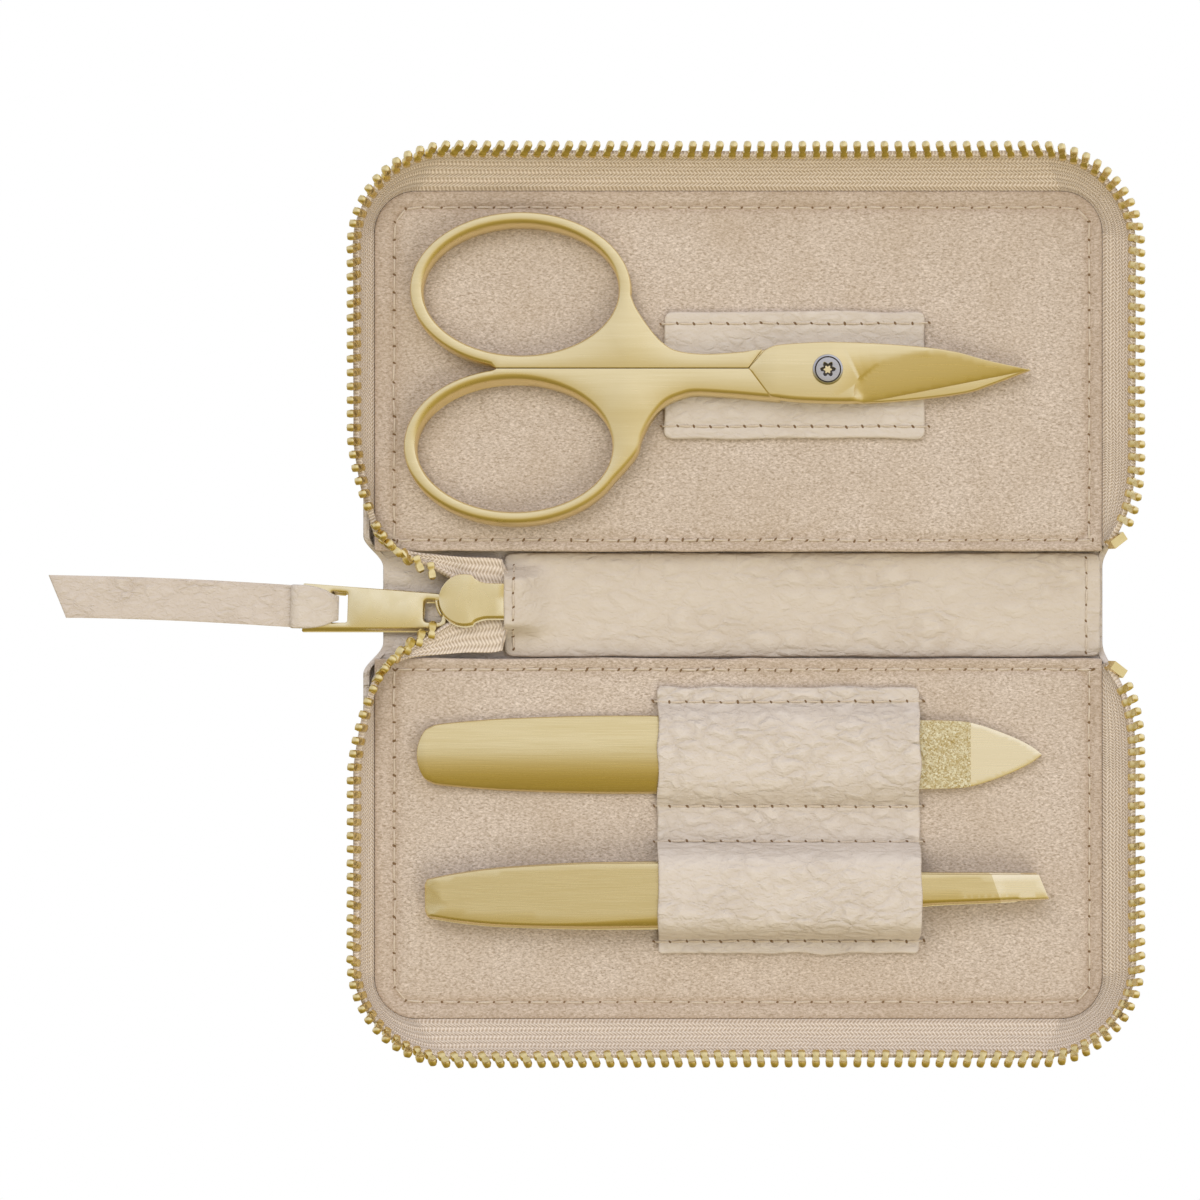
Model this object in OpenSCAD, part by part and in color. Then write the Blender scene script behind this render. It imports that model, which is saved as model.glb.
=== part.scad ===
// Zipped leather manicure case, lying open with scissors, a nail file and tweezers.
// Millimetres. X runs along the spine, +Y to the half with the scissors, +Z up.
// The origin is the middle of the spine's underside, on the table.

/* [Panels] */
// Length of each panel along the spine
panel_len = 105; // [100:1:116]
// Depth of each panel, from its fold edge to its far edge
panel_depth = 51.4; // [50:0.1:58]
// Half of the distance between the two fold lines
fold_half = 7.6; // [7.4:0.1:9]
// Height of the fold lines over the table
fold_z = 2.2; // [2:0.1:2.6]
// Clearance from a fold line to the panel's edge
fold_gap = 0.3; // [0.2:0.05:0.6]
// Corner radius of the panels
panel_corner_r = 6; // [4:0.5:9]

/* [Layers] */
// Thickness of the outer leather
leather_t = 1.0; // [0.8:0.1:1.2]
// Thickness of the stiffening board
board_t = 1.1; // [0.8:0.1:1.4]
// Thickness of the foam padding
foam_t = 1.1; // [0.8:0.1:1.4]
// Thickness of the suede lining
lining_t = 0.8; // [0.6:0.1:1]
// Height of the leather's turned-up rim
rim_h = 3.2; // [2.4:0.1:3.4]
// Slot between the layers and the rim, which takes the zip tape
rim_slot = 0.8; // [0.7:0.05:1.1]

/* [Zip] */
// Thickness of the tape
tape_t = 0.5; // [0.4:0.05:0.6]
// Outward flare of the wall at the far side
flare_far = 6.1; // [4:0.1:8]
// Outward flare of the wall at the left side
flare_left = 3.5; // [2.5:0.1:5]
// Outward flare of the wall at the right side
flare_right = 5.4; // [3:0.1:7]
// Corner radius of the row of teeth
teeth_corner_r = 15; // [12:0.5:18]
// Distance from tooth to tooth
tooth_pitch = 1.95; // [1.8:0.05:2.4]
// Length of a tooth, from its legs to its tip
tooth_len = 2.6; // [2.2:0.1:3]
// Width of a tooth along the tape
tooth_w = 1.2; // [1:0.05:1.4]
// Thickness of a tooth across the tape
tooth_t = 1.3; // [1.1:0.05:1.4]

/* [Slider] */
// Radius of the slider's round head
slider_r = 3.7; // [3.2:0.1:4]
// Width of the slider's neck
slider_neck = 5.2; // [4.6:0.1:5.6]
// Length of the slider
slider_len = 9.4; // [8.6:0.1:10.4]
// Thickness of each of the slider's two plates
slider_plate_t = 0.55; // [0.45:0.05:0.6]
// Gap between the plates, where the teeth run
slider_gap = 1.4; // [1.35:0.05:1.6]
// Thickness of the bridge under the slider
bridge_t = 0.5; // [0.4:0.05:0.6]
// Width of the bridge
bridge_w = 1.1; // [0.8:0.1:1.3]

/* [Pull] */
// Thickness of the pull link
link_t = 0.85; // [0.7:0.05:0.9]
// Length of the link from its hinge bar to its far end
link_len = 20.6; // [18:0.2:24]
// Width of the link at its far end
link_end_w = 6.8; // [6:0.1:8]
// Width of the link at the hinge bar
link_bar_w = 5.2; // [4.6:0.1:6]
// Turn of the link in plan, in degrees
link_turn = -1.8; // [-3:0.1:0]
// Thickness of the strap leather, which lies double in the tail
strap_t = 0.7; // [0.6:0.05:0.8]
// Width of the leather strap
strap_w = 6.4; // [5.6:0.1:6.8]
// Length of the strap's tail
strap_len = 35.6; // [25:0.5:50]
// Turn of the leather strap in plan, in degrees
strap_turn = -2.4; // [-4:0.1:0]

/* [Loops] */
// Length along X of the strap under the scissors
rest_len = 37.5; // [30:0.5:42]
// Width of the strap under the scissors
rest_w = 18.3; // [14:0.1:22]
// Length along X of the loop over file and tweezers
loop_len = 37.8; // [30:0.5:42]
// Thickness of the loop leather
loop_t = 0.8; // [0.6:0.05:1]
// Width of a seam's flat margin
seam_margin = 1.1; // [0.8:0.1:1.8]
// Clearance over a tool in its channel
channel_gap = 0.35; // [0.25:0.05:0.5]

/* [Scissors] */
// Thickness of each blade
blade_t = 1.4; // [1.2:0.1:1.5]
// Thickness of the bows and shanks
shank_t = 2.4; // [2:0.1:2.6]
// Clearance between the two halves
scissors_gap = 0.06; // [0.05:0.01:0.1]
// Half length of a bow, outside
bow_a = 15.9; // [15:0.1:16.5]
// Half width of a bow, outside
bow_b = 11.2; // [10.6:0.1:11.4]
// Width of a bow's ring
bow_rim = 1.8; // [1.5:0.1:2.2]
// Radius of the pivot screw's shaft
screw_r = 1.2; // [1:0.05:1.5]
// Radius of the pivot screw's head
screw_head_r = 2.15; // [1.9:0.05:2.5]
// Height of the pivot screw's head
screw_head_h = 0.45; // [0.3:0.05:0.6]

/* [Nail file] */
// Length of the file
file_len = 90.1; // [86:0.5:92]
// Widest width of the file
file_w = 11.2; // [10:0.1:11.6]
// Thickness of the file's handle at its crown
file_t = 2; // [1.6:0.1:2.4]
// Thickness of the file's handle at its edges
file_edge_t = 0.8; // [0.5:0.1:1]
// Thickness of the file's flat blade
file_blade_t = 1.2; // [0.9:0.1:1.5]
// Length of the file's coated band
grit_len = 7.8; // [6:0.2:10]
// Thickness of the file's coating
grit_t = 0.12; // [0.08:0.02:0.2]

/* [Tweezers] */
// Length of the tweezers
tweezers_len = 89.6; // [86:0.5:92]
// Widest width of the tweezers
tweezers_w = 9.2; // [8:0.1:9.6]
// Height of the tweezers over both arms
tweezers_h = 4.6; // [4.2:0.1:4.7]
// Thickness of an arm
arm_t = 1.1; // [0.9:0.05:1.2]
// Length of the joined end of the arms
weld_len = 2.7; // [2:0.1:4]
// Gap between the tips at rest
tip_gap = 1.8; // [1.4:0.1:2]

/* [Hidden] */

leather = [0.85, 0.79, 0.72];
suede = [0.80, 0.72, 0.62];
twill = [0.80, 0.72, 0.64];
board_grey = [0.55, 0.53, 0.50];
foam_white = [0.92, 0.91, 0.88];
champagne = [0.80, 0.72, 0.45];
brushed_gold = [0.83, 0.75, 0.48];
pale_gold = [0.87, 0.82, 0.68];
steel = [0.72, 0.72, 0.74];

round_fn = 64;
touch = 0.05;

// Plan of a panel
half_len = panel_len / 2;
edge_y = fold_half + fold_gap;
far_y = edge_y + panel_depth;

// Heights of the layers
board_z = leather_t;
foam_z = board_z + board_t;
lining_z = foam_z + foam_t;
floor_z = lining_z + lining_t;

// The wall of tape and teeth, whose tips lie under the plane where the closed halves meet
meet_gap = 0.75;
wall_top = fold_half + fold_z - meet_gap;
tape_in = rim_slot / 2;
tape_root_z = leather_t + touch;
knee_z = rim_h + 0.5;
side_start = 16;
near_y = edge_y + side_start;
corner_steps = 7;
curl_steps = 6;

// The slider stands over the spine's leather, at a fixed distance from the end of the panels;
// its plates lie one over the other
slider_y = 0.7;
bridge_y = 0.1;
slider_z = leather_t + 0.15;
bar_room = link_t + 0.3;
front_plate_z = slider_z + bridge_t + bar_room;
gap_z = front_plate_z + slider_plate_t;
back_plate_z = gap_z + slider_gap;
slider_inset = 18.6;
slider_back_x = slider_inset - half_len;
slider_nose_x = slider_back_x - slider_len;
head_x = slider_nose_x + slider_r;
gap_mid = gap_z + slider_gap / 2;

// The inner leather patch starts where the slider ends
patch_x = slider_back_x + 0.1;
patch_end_x = half_len - 0.3;
patch_half_w = fold_half - 0.9;
patch_ramp = 6;
flat_len = 2.2;
tunnel_half_w = 4.1;

// The pull hangs on a bar under the slider's nose
bar_x = slider_nose_x + 0.8;
bar_z = slider_z + bridge_t + bar_room / 2;
bar_y = -0.9;
link_bar = 0.8;
link_window = 2.4;
eye_len = 2.6;
eye_rail = 1.2;
end_bar = 4.1;

// ---------- small helpers ----------

function unit(v) = v / norm(v);
function lerp(a, b, t) = a + (b - a) * t;
function bezier(a, b, c, t) = (1 - t) * (1 - t) * a + 2 * t * (1 - t) * b + t * t * c;
function smooth(t) = t * t * (3 - 2 * t);

// A closed skin over a list of rings, each with the same number of points
module skin(rings) {
    n = len(rings[0]);
    last = len(rings) - 1;
    points = [for (ring = rings) for (p = ring) p];
    walls = [
        for (i = [0 : last - 1])
            for (j = [0 : n - 1])
                let (a = i * n + j, b = i * n + (j + 1) % n)
                    each [[a, b, b + n], [a, b + n, a + n]]
    ];
    caps = [
        for (j = [1 : n - 2])
            each [[0, j + 1, j], [last * n, last * n + j, last * n + j + 1]]
    ];
    polyhedron(points, concat(walls, caps), convexity = 6);
}

// Draws a child on the scissors half (1) or mirrored on the file half (-1)
module on_side(side) {
    if (side > 0) children();
    else mirror([0, 1, 0]) children();
}

// Plan of a panel layer with its far corners rounded, grown outwards by the given amount
module panel_plan(grow) {
    r = panel_corner_r + grow;
    w = half_len + grow;
    far = far_y + grow;
    union() {
        translate([-w, edge_y]) square([2 * w, far - edge_y - r]);
        translate([-w + r, edge_y]) square([2 * (w - r), far - edge_y]);
        for (sx = [-1, 1]) translate([sx * (w - r), far - r]) circle(r, $fn = round_fn);
    }
}

module panel_layer(z, t) {
    translate([0, 0, z]) linear_extrude(t) panel_plan(0);
}

// ---------- covers, board, padding, lining ----------

// A shallow leather tray: floor and a rim that stands round three sides
module cover_shell() {
    rim_out = rim_slot + leather_t;
    difference() {
        linear_extrude(rim_h) panel_plan(rim_out);
        translate([0, 0, leather_t]) linear_extrude(rim_h) {
            panel_plan(rim_slot);
            translate([-half_len - rim_slot, edge_y - 1]) square([panel_len + 2 * rim_slot, 2]);
        }
    }
}

module lower_cover() { color(leather) on_side(-1) cover_shell(); }
module upper_cover() { color(leather) on_side(1) cover_shell(); }

module spine_cover() {
    seam = 0.1;
    width = 2 * (edge_y - seam);
    color(leather)
        translate([-half_len, -width / 2, 0]) cube([panel_len, width, leather_t]);
}

module lower_board() { color(board_grey) on_side(-1) panel_layer(board_z, board_t); }
module upper_board() { color(board_grey) on_side(1) panel_layer(board_z, board_t); }
module lower_padding() { color(foam_white) on_side(-1) panel_layer(foam_z, foam_t); }
module upper_padding() { color(foam_white) on_side(1) panel_layer(foam_z, foam_t); }
module lower_lining() { color(suede) on_side(-1) panel_layer(lining_z, lining_t); }
module upper_lining() { color(suede) on_side(1) panel_layer(lining_z, lining_t); }

// The inner leather of the spine; its left end lifts over the tape tails and the bottom stop
module spine_patch() {
    low = leather_t;
    lift = gap_mid + 0.35 - low;
    ramp = [
        [patch_x, low + lift], [patch_x + flat_len, low + lift], [patch_x + patch_ramp, low],
        [patch_x + patch_ramp, low + leather_t], [patch_x + flat_len, low + lift + leather_t],
        [patch_x, low + lift + leather_t]
    ];
    color(leather) union() {
        difference() {
            translate([patch_x, -patch_half_w, low])
                cube([patch_end_x - patch_x, 2 * patch_half_w, leather_t]);
            translate([patch_x - 1, slider_y - tunnel_half_w, low - 1])
                cube([patch_ramp + 1, 2 * tunnel_half_w, leather_t + 2]);
        }
        translate([0, slider_y + tunnel_half_w, 0])
            rotate([90, 0, 0]) linear_extrude(2 * tunnel_half_w) polygon(ramp);
    }
}

// ---------- tape and teeth ----------

// A station is [foot of the wall on the panel's edge, tip of the wall], for the scissors half.
foot_w = half_len + tape_in;
foot_far = far_y + tape_in;
tip_left = -half_len - flare_left;
tip_right = half_len + flare_right;
tip_far = far_y + flare_far;
foot_r = panel_corner_r + tape_in;

// The left end of the row curves in to the slider's nose, at curl 0 on the wall and 1 at the nose
split = 0.4;
nose_gap = 2.3;
drop_start = 0.25;
function left_tip(t, side) =
    let (nose = [slider_nose_x + 0.2, nose_gap + side * slider_y],
        p = bezier([tip_left, near_y], [tip_left + 1.8, edge_y + 1.1], nose, t),
        drop = smooth(max(0, t - drop_start) / (1 - drop_start)))
        [p[0], p[1], lerp(wall_top, gap_mid, drop)];
// Its foot goes down the panel's side, then round the lining's corner, over its edge, to the slider
turn_y = edge_y + 5.5;
foot_lift = 1.7;
function left_foot(t) =
    let (u = (t - split) / (1 - split),
        p = bezier([-foot_w, turn_y], [-foot_w, edge_y - 0.6], [slider_nose_x, edge_y - 0.7], u))
        t < split ? [-foot_w, lerp(near_y, turn_y, t / split), knee_z]
        : [p[0], p[1], knee_z + foot_lift * sin(180 * u)];

// The right end of the row curls in to the end of the spine
right_drop = 2.2;
function right_tip(t) =
    let (p = bezier([tip_right, near_y], [tip_right + 0.5, edge_y + 3], [half_len + 1.4, edge_y + 0.7], t))
        [p[0], p[1], wall_top - right_drop * smooth(t)];
function right_foot(t) = [foot_w, lerp(near_y, edge_y + 0.7, t), knee_z];

function arc_pair(foot_c, tip_c, a) = [
    [foot_c[0] + foot_r * cos(a), foot_c[1] + foot_r * sin(a), knee_z],
    [tip_c[0] + teeth_corner_r * cos(a), tip_c[1] + teeth_corner_r * sin(a), wall_top]
];

function wall_stations(side) = concat(
    [for (i = [0 : curl_steps]) let (t = split * (1 - i / curl_steps)) [left_foot(t), left_tip(t, side)]],
    [for (i = [0 : corner_steps]) let (a = 180 - 90 * i / corner_steps)
        arc_pair([-foot_w + foot_r, foot_far - foot_r],
            [tip_left + teeth_corner_r, tip_far - teeth_corner_r], a)],
    [for (i = [0 : corner_steps]) let (a = 90 - 90 * i / corner_steps)
        arc_pair([foot_w - foot_r, foot_far - foot_r],
            [tip_right - teeth_corner_r, tip_far - teeth_corner_r], a)],
    [for (i = [0 : curl_steps]) let (t = i / curl_steps) [right_foot(t), right_tip(t)]]
);

// The tape's end: a tail under the patch, the run beside the slider, then the curve to the wall
end_steps = 7;
split_gap = 0.03;
tail_x = patch_x + 1.9;
tail_drop = 0.7;
tail_w = 3.6;
tooth_lap = 0.9;
function nose_stations(side) = [
    for (i = [0 : end_steps])
        let (t = lerp(1, split + split_gap, i / end_steps)) [left_foot(t), left_tip(t, side)]
];
function end_stations(side) =
    let (mid = side * slider_y, low = gap_mid - tail_drop) concat(
        [[[tail_x, mid + tail_w, low], [tail_x, mid - tooth_lap, low]],
         [[patch_x + 0.3, mid + tail_w, gap_mid - 0.15], [patch_x + 0.3, mid - tooth_lap, gap_mid - 0.15]],
         [[patch_x - 0.1, edge_y - 1.4, knee_z], [patch_x - 0.1, mid - tooth_lap, gap_mid]],
         [[head_x, edge_y - 1, knee_z], [head_x, mid + 0.3, gap_mid]]],
        nose_stations(side)
    );

function up_of(s) = unit(s[1] - s[0]);
function middle(s) = (s[0] + s[1]) / 2;
function along(list, i) =
    unit(middle(list[min(i + 1, len(list) - 1)]) - middle(list[max(i - 1, 0)]));

// The tape ends a little below the tips, inside the legs of the teeth
leg_overlap = 0.7;
function bead_of(s) = s[1] - up_of(s) * (tooth_len - leg_overlap);

// Six points round the tape: a root in the panel's slot, a knee at the rim and the bead
function wall_ring(list, i) =
    let (
        s = list[i],
        tangent = along(list, i),
        lean = unit(cross(tangent, up_of(s))) * tape_t / 2,
        flat = unit(cross(tangent, [0, 0, 1])) * tape_t / 2,
        root = [s[0][0], s[0][1], tape_root_z],
        bead = bead_of(s)
    ) [root + flat, s[0] + flat, bead + lean, bead - lean, s[0] - flat, root - flat];

// Four points round the flat tape beside the slider
function end_ring(list, i) =
    let (
        s = list[i],
        lean = unit(cross(along(list, i), up_of(s))) * tape_t / 2,
        bead = bead_of(s)
    ) [s[0] + lean, bead + lean, bead - lean, s[0] - lean];

function reversed(list) = [for (i = [len(list) - 1 : -1 : 0]) list[i]];

module wall_tape(side) {
    list = wall_stations(side);
    skin([for (i = [0 : len(list) - 1]) wall_ring(list, i)]);
}

module end_tape(side) {
    list = reversed(end_stations(side));
    skin([for (i = [0 : len(list) - 1]) end_ring(list, i)]);
}

// Distance along the row of tips, up to station i
function tip_step(list, i) = norm(list[i][1] - list[i - 1][1]);
function tip_runs(list) = [
    for (i = 0, run = 0; i < len(list);
        i = i + 1, run = run + (i < len(list) ? tip_step(list, i) : 0)) run
];
function axis_table(list, runs, which, axis) =
    [for (i = [0 : len(list) - 1]) [runs[i], list[i][which][axis]]];

// One tooth: two crimped legs in one block and a rounded head; its tip is at the origin, up along Z
module tooth() {
    head = tooth_t / 2;
    translate([-tooth_w / 2, -tooth_t / 2, -tooth_len]) cube([tooth_w, tooth_t, tooth_len - head]);
    translate([-tooth_w / 2, 0, -head]) rotate([0, 90, 0]) cylinder(h = tooth_w, r = head, $fn = 24);
}

// Teeth at an even pitch along the stations, each square to the row and in line with the wall
module tooth_row(list, skip_first, skip_last) {
    runs = tip_runs(list);
    total = runs[len(runs) - 1];
    count = floor((total - skip_first - skip_last) / tooth_pitch);
    foot = [for (axis = [0 : 2]) axis_table(list, runs, 0, axis)];
    tip = [for (axis = [0 : 2]) axis_table(list, runs, 1, axis)];
    for (k = [0 : count]) {
        s = skip_first + k * tooth_pitch;
        t0 = [for (axis = [0 : 2]) lookup(s, tip[axis])];
        t1 = [for (axis = [0 : 2]) lookup(s + 0.4, tip[axis])];
        b0 = [for (axis = [0 : 2]) lookup(s, foot[axis])];
        up = unit(t0 - b0);
        across = unit(cross(up, t1 - t0));
        run = cross(across, up);
        multmatrix([
            [run[0], across[0], up[0], t0[0]],
            [run[1], across[1], up[1], t0[1]],
            [run[2], across[2], up[2], t0[2]],
            [0, 0, 0, 1]
        ]) tooth();
    }
}

module lower_tape() { color(twill) on_side(-1) wall_tape(-1); }
module upper_tape() { color(twill) on_side(1) wall_tape(1); }
module lower_tape_end() { color(twill) on_side(-1) end_tape(-1); }
module upper_tape_end() { color(twill) on_side(1) end_tape(1); }

// The rows stop short of the slider's nose, of the split and of the top stops
nose_skip = 1.2;
split_skip = 0.8;
stop_len = 2.4;
module wall_teeth(side) { tooth_row(wall_stations(side), split_skip, stop_len + tooth_w); }
module end_teeth(side) { tooth_row(nose_stations(side), nose_skip, split_skip); }
module lower_teeth() { color(champagne) on_side(-1) wall_teeth(-1); }
module upper_teeth() { color(champagne) on_side(1) wall_teeth(1); }
module lower_teeth_end() { color(champagne) on_side(-1) end_teeth(-1); }
module upper_teeth_end() { color(champagne) on_side(1) end_teeth(1); }

// A metal clip at the right end of each row
module top_stop() {
    s = [right_foot(1), right_tip(1)];
    before = [right_foot(0.9), right_tip(0.9)];
    up = up_of(s);
    across = unit(cross(up, s[1] - before[1]));
    run = cross(across, up);
    multmatrix([
        [run[0], across[0], up[0], s[1][0]],
        [run[1], across[1], up[1], s[1][1]],
        [run[2], across[2], up[2], s[1][2]],
        [0, 0, 0, 1]
    ]) translate([-stop_len, -tooth_t / 2, -tooth_len]) cube([stop_len, tooth_t, tooth_len - 0.3]);
}

module lower_top_stop() { color(champagne) on_side(-1) top_stop(); }
module upper_top_stop() { color(champagne) on_side(1) top_stop(); }

// A clip across both tails, under the patch's lifted end
module bottom_stop() {
    stop_w = 3.4;
    stop_x = patch_x + 0.35;
    color(champagne)
        translate([stop_x, slider_y - stop_w / 2, gap_mid - 0.9]) cube([1.4, stop_w, 1.2]);
}

// ---------- slider and pull ----------

module slider_plate() {
    union() {
        translate([head_x, slider_y]) circle(slider_r, $fn = round_fn);
        translate([head_x, slider_y - slider_neck / 2])
            square([slider_back_x - head_x, slider_neck]);
    }
}

// Two plates joined by a post at the nose, with a bridge under the front plate
module slider() {
    post_r = 1.1;
    foot_t = 0.5;
    bridge_start = bar_x - link_bar / 2 - 0.15 - foot_t;
    bridge_end = slider_back_x - 2.4;
    color(pale_gold) union() {
        translate([0, 0, front_plate_z]) linear_extrude(slider_plate_t) slider_plate();
        translate([0, 0, back_plate_z]) linear_extrude(slider_plate_t) slider_plate();
        translate([slider_nose_x + post_r + 0.3, slider_y, gap_z])
            cylinder(h = slider_gap, r = post_r, $fn = round_fn);
        translate([bridge_start, bridge_y - bridge_w / 2, slider_z])
            cube([bridge_end - bridge_start, bridge_w, bridge_t]);
        for (x = [bridge_start, bridge_end - foot_t])
            translate([x, bridge_y - bridge_w / 2, slider_z])
                cube([foot_t, bridge_w, front_plate_z - slider_z + touch]);
        translate([bridge_start, bridge_y - bridge_w / 2, front_plate_z])
            cube([slider_r, bridge_w, slider_plate_t]);
    }
}

// A tapered flat link: an eye round the hinge bar, a long plate, a window and an end bar
module pull_link() {
    eye_x = -eye_len - link_bar;
    window_x = -link_len + end_bar;
    inner_w = link_end_w - 2 * eye_rail;
    color(pale_gold) translate([bar_x, bar_y, bar_z - link_t / 2]) rotate([0, 0, link_turn])
        difference() {
            linear_extrude(link_t) polygon([
                [link_bar / 2, -link_bar_w / 2 + 0.8], [link_bar / 2, link_bar_w / 2 - 0.8],
                [-0.6, link_bar_w / 2], [-link_len, link_end_w / 2],
                [-link_len, -link_end_w / 2], [-0.6, -link_bar_w / 2]
            ]);
            translate([eye_x + link_bar / 2, -link_bar_w / 2 + 0.9, -1])
                cube([eye_len, link_bar_w - 1.8, link_t + 2]);
            translate([window_x, -inner_w / 2, -1]) cube([link_window, inner_w, link_t + 2]);
        }
}

// The strap is one leather strip: a loop folded round the link's end bar, then a tail of both layers
strap_in = link_t / 2 + 0.12;
strap_out = strap_in + strap_t;
loop_front_x = -link_len + end_bar + 0.1;
loop_back_x = -link_len - 0.2;
lap = 1.2;
tail_gap = 0.1;
crease_x = loop_back_x - lap - tail_gap;

module strap_loop() {
    loop_w = link_end_w - 2 * eye_rail - 0.2;
    color(leather) translate([bar_x, bar_y, bar_z]) rotate([0, 0, link_turn]) difference() {
        translate([loop_back_x - lap, -loop_w / 2, -strap_out])
            cube([loop_front_x + strap_t - loop_back_x + lap, loop_w, 2 * strap_out]);
        translate([loop_back_x, -loop_w / 2 - 1, -strap_in])
            cube([loop_front_x - loop_back_x, loop_w + 2, 2 * strap_in]);
    }
}

// The tail bends at the crease, and ends in a slanted cut
module strap_tail() {
    slant = 2.8;
    color(leather) translate([bar_x, bar_y, bar_z]) rotate([0, 0, link_turn])
        translate([crease_x, 0, -strap_out]) rotate([0, 0, strap_turn - link_turn])
            linear_extrude(2 * strap_t) polygon([
                [0, -strap_w / 2], [0, strap_w / 2],
                [-strap_len, strap_w / 2], [-strap_len + slant, -strap_w / 2]
            ]);
}

// ---------- leather strap and loop on the linings ----------

scissors_x = 12.7;
scissors_y = edge_y + 25.9;
rest_x = scissors_x - 23.4;
rest_y = scissors_y - 9.8;

module scissors_rest() {
    color(leather) translate([rest_x, rest_y, floor_z]) cube([rest_len, rest_w, loop_t]);
}

file_y = -edge_y - 13.7;
tweezers_y = -edge_y - 33.4;
loop_x = -11.7;
file_channel = file_w / 2 + 1.6;
tweezers_channel = tweezers_w / 2 + 2.3;
file_hump = file_t + channel_gap;
tweezers_hump = tweezers_h + 0.3 + channel_gap;

// Height of the loop's underside over the lining, from its distance to a channel's middle
function hump(y, middle_y, half_w, height, power) =
    let (u = min(1, abs(y - middle_y) / half_w)) height * (1 - pow(u, power));
function loop_lift(y) =
    hump(y, file_y, file_channel, file_hump, 4) + hump(y, tweezers_y, tweezers_channel, tweezers_hump, 6);

// One piece of leather over both tools, sewn down beside each of them
module tool_loop() {
    top_y = file_y + file_channel + seam_margin + 1.4;
    low_y = tweezers_y - tweezers_channel - seam_margin - 1;
    steps = 60;
    ys = [for (i = [0 : steps]) lerp(low_y, top_y, i / steps)];
    under = [for (y = ys) [y, floor_z + loop_lift(y)]];
    over = [for (i = [steps : -1 : 0]) [ys[i], floor_z + loop_lift(ys[i]) + loop_t]];
    color(leather) translate([loop_x, 0, 0])
        rotate([90, 0, 90]) linear_extrude(loop_len) polygon(concat(under, over));
}

// ---------- scissors ----------

// Their height, lying on the strap; the back half's blade is the lower one
scissors_z = floor_z + loop_t + touch;
front_z = scissors_z + blade_t + scissors_gap;
scissors_top = front_z + blade_t;
shank_z = (scissors_z + scissors_top - shank_t) / 2;
tip_x = 29.3;
seam_y = 0.2;
bow_x = -44.4;

module ellipse(a, b) {
    steps = 56;
    polygon([for (i = [0 : steps - 1]) let (t = 360 * i / steps) [a * cos(t), b * sin(t)]]);
}

module bow_hole() {
    ellipse(bow_a - bow_rim, bow_b - bow_rim);
}

// The upper bow and its shank, from the crotch to the joint
module back_shank_plan() {
    difference() {
        union() {
            translate([bow_x + 0.3, seam_y + bow_b + touch]) ellipse(bow_a, bow_b);
            polygon([
                [-48, seam_y + 0.1], [-48, seam_y + 3], [-31, seam_y + 14], [-29.2, 11.9], [-25.5, 5.9],
                [-21.8, 2.8], [-18.2, 2.3], [-9.4, 2.9], [-11.4, seam_y + 0.1]
            ]);
        }
        translate([bow_x + 0.3, seam_y + bow_b + touch]) bow_hole();
        translate([-80, seam_y - 20]) square([100, 20 + scissors_gap]);
    }
}

// The lower bow and its shank
module front_shank_plan() {
    difference() {
        union() {
            translate([bow_x - 0.6, seam_y - bow_b - touch]) ellipse(bow_a, bow_b);
            polygon([
                [-48, seam_y - 0.1], [-48, seam_y - 3], [-31, seam_y - 16], [-27.2, -11.9], [-26.8, -9.4],
                [-23.3, -4.6], [-18.8, -3.4], [-9.4, -4.1], [-8.2, -4.1], [-11.2, seam_y - 0.1]
            ]);
        }
        translate([bow_x - 0.6, seam_y - bow_b - touch]) bow_hole();
        translate([-80, seam_y - scissors_gap]) square([100, 20]);
    }
}

module scissors_back() {
    color(brushed_gold) translate([scissors_x, scissors_y, 0]) difference() {
        union() {
            translate([0, 0, shank_z]) linear_extrude(shank_t) back_shank_plan();
            translate([0, 0, scissors_z]) linear_extrude(blade_t) polygon([
                [-14, seam_y + 0.1], [-14, 2.4], [-9.4, 2.9], [-1, 3.9], [10, 3], [tip_x, 0],
                [22.6, -2.4], [20.1, -3.3], [6.7, -4.7], [-3, -4.6], [-8, -4], [-11, seam_y + 0.1]
            ]);
        }
        translate([0, 0, scissors_z - 1])
            cylinder(h = 2 * blade_t + 2, r = screw_r + 0.08, $fn = round_fn);
        // Room for the front half's upper layer, past the step in the joint
        translate([0, 0, scissors_z + blade_t]) linear_extrude(2 * blade_t) polygon([
            [-11.45, seam_y - 1], [-11.45, seam_y + 0.1], [-9.3, 2.95],
            [-6, 9], [tip_x, 9], [tip_x, seam_y - 1]
        ]);
    }
}

module scissors_front() {
    color(brushed_gold) translate([scissors_x, scissors_y, 0]) difference() {
        union() {
            translate([0, 0, shank_z]) linear_extrude(shank_t) front_shank_plan();
            translate([0, 0, front_z]) linear_extrude(blade_t) polygon([
                [-14, seam_y - 0.1], [-11.3, seam_y - 0.1], [-9.1, 2.75], [-6.8, 3.6], [1.6, 3.9],
                [14.2, 3.2], [17.1, 2.9], [23, 1.3], [tip_x, 0],
                [6.8, -4.7], [-2.7, -4.6], [-9.4, -4.1], [-14, -3.7]
            ]);
        }
        translate([0, 0, scissors_z - 1])
            cylinder(h = 2 * blade_t + 2, r = screw_r, $fn = round_fn);
        // Room for the back half's lower layer
        translate([0, 0, front_z - scissors_gap - 2 * blade_t]) linear_extrude(2 * blade_t) polygon([
            [-11.15, seam_y + 1], [-11.15, seam_y - 0.1], [-8.05, -4.1],
            [-4, -9], [tip_x, -9], [tip_x, seam_y + 1]
        ]);
    }
}

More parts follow.
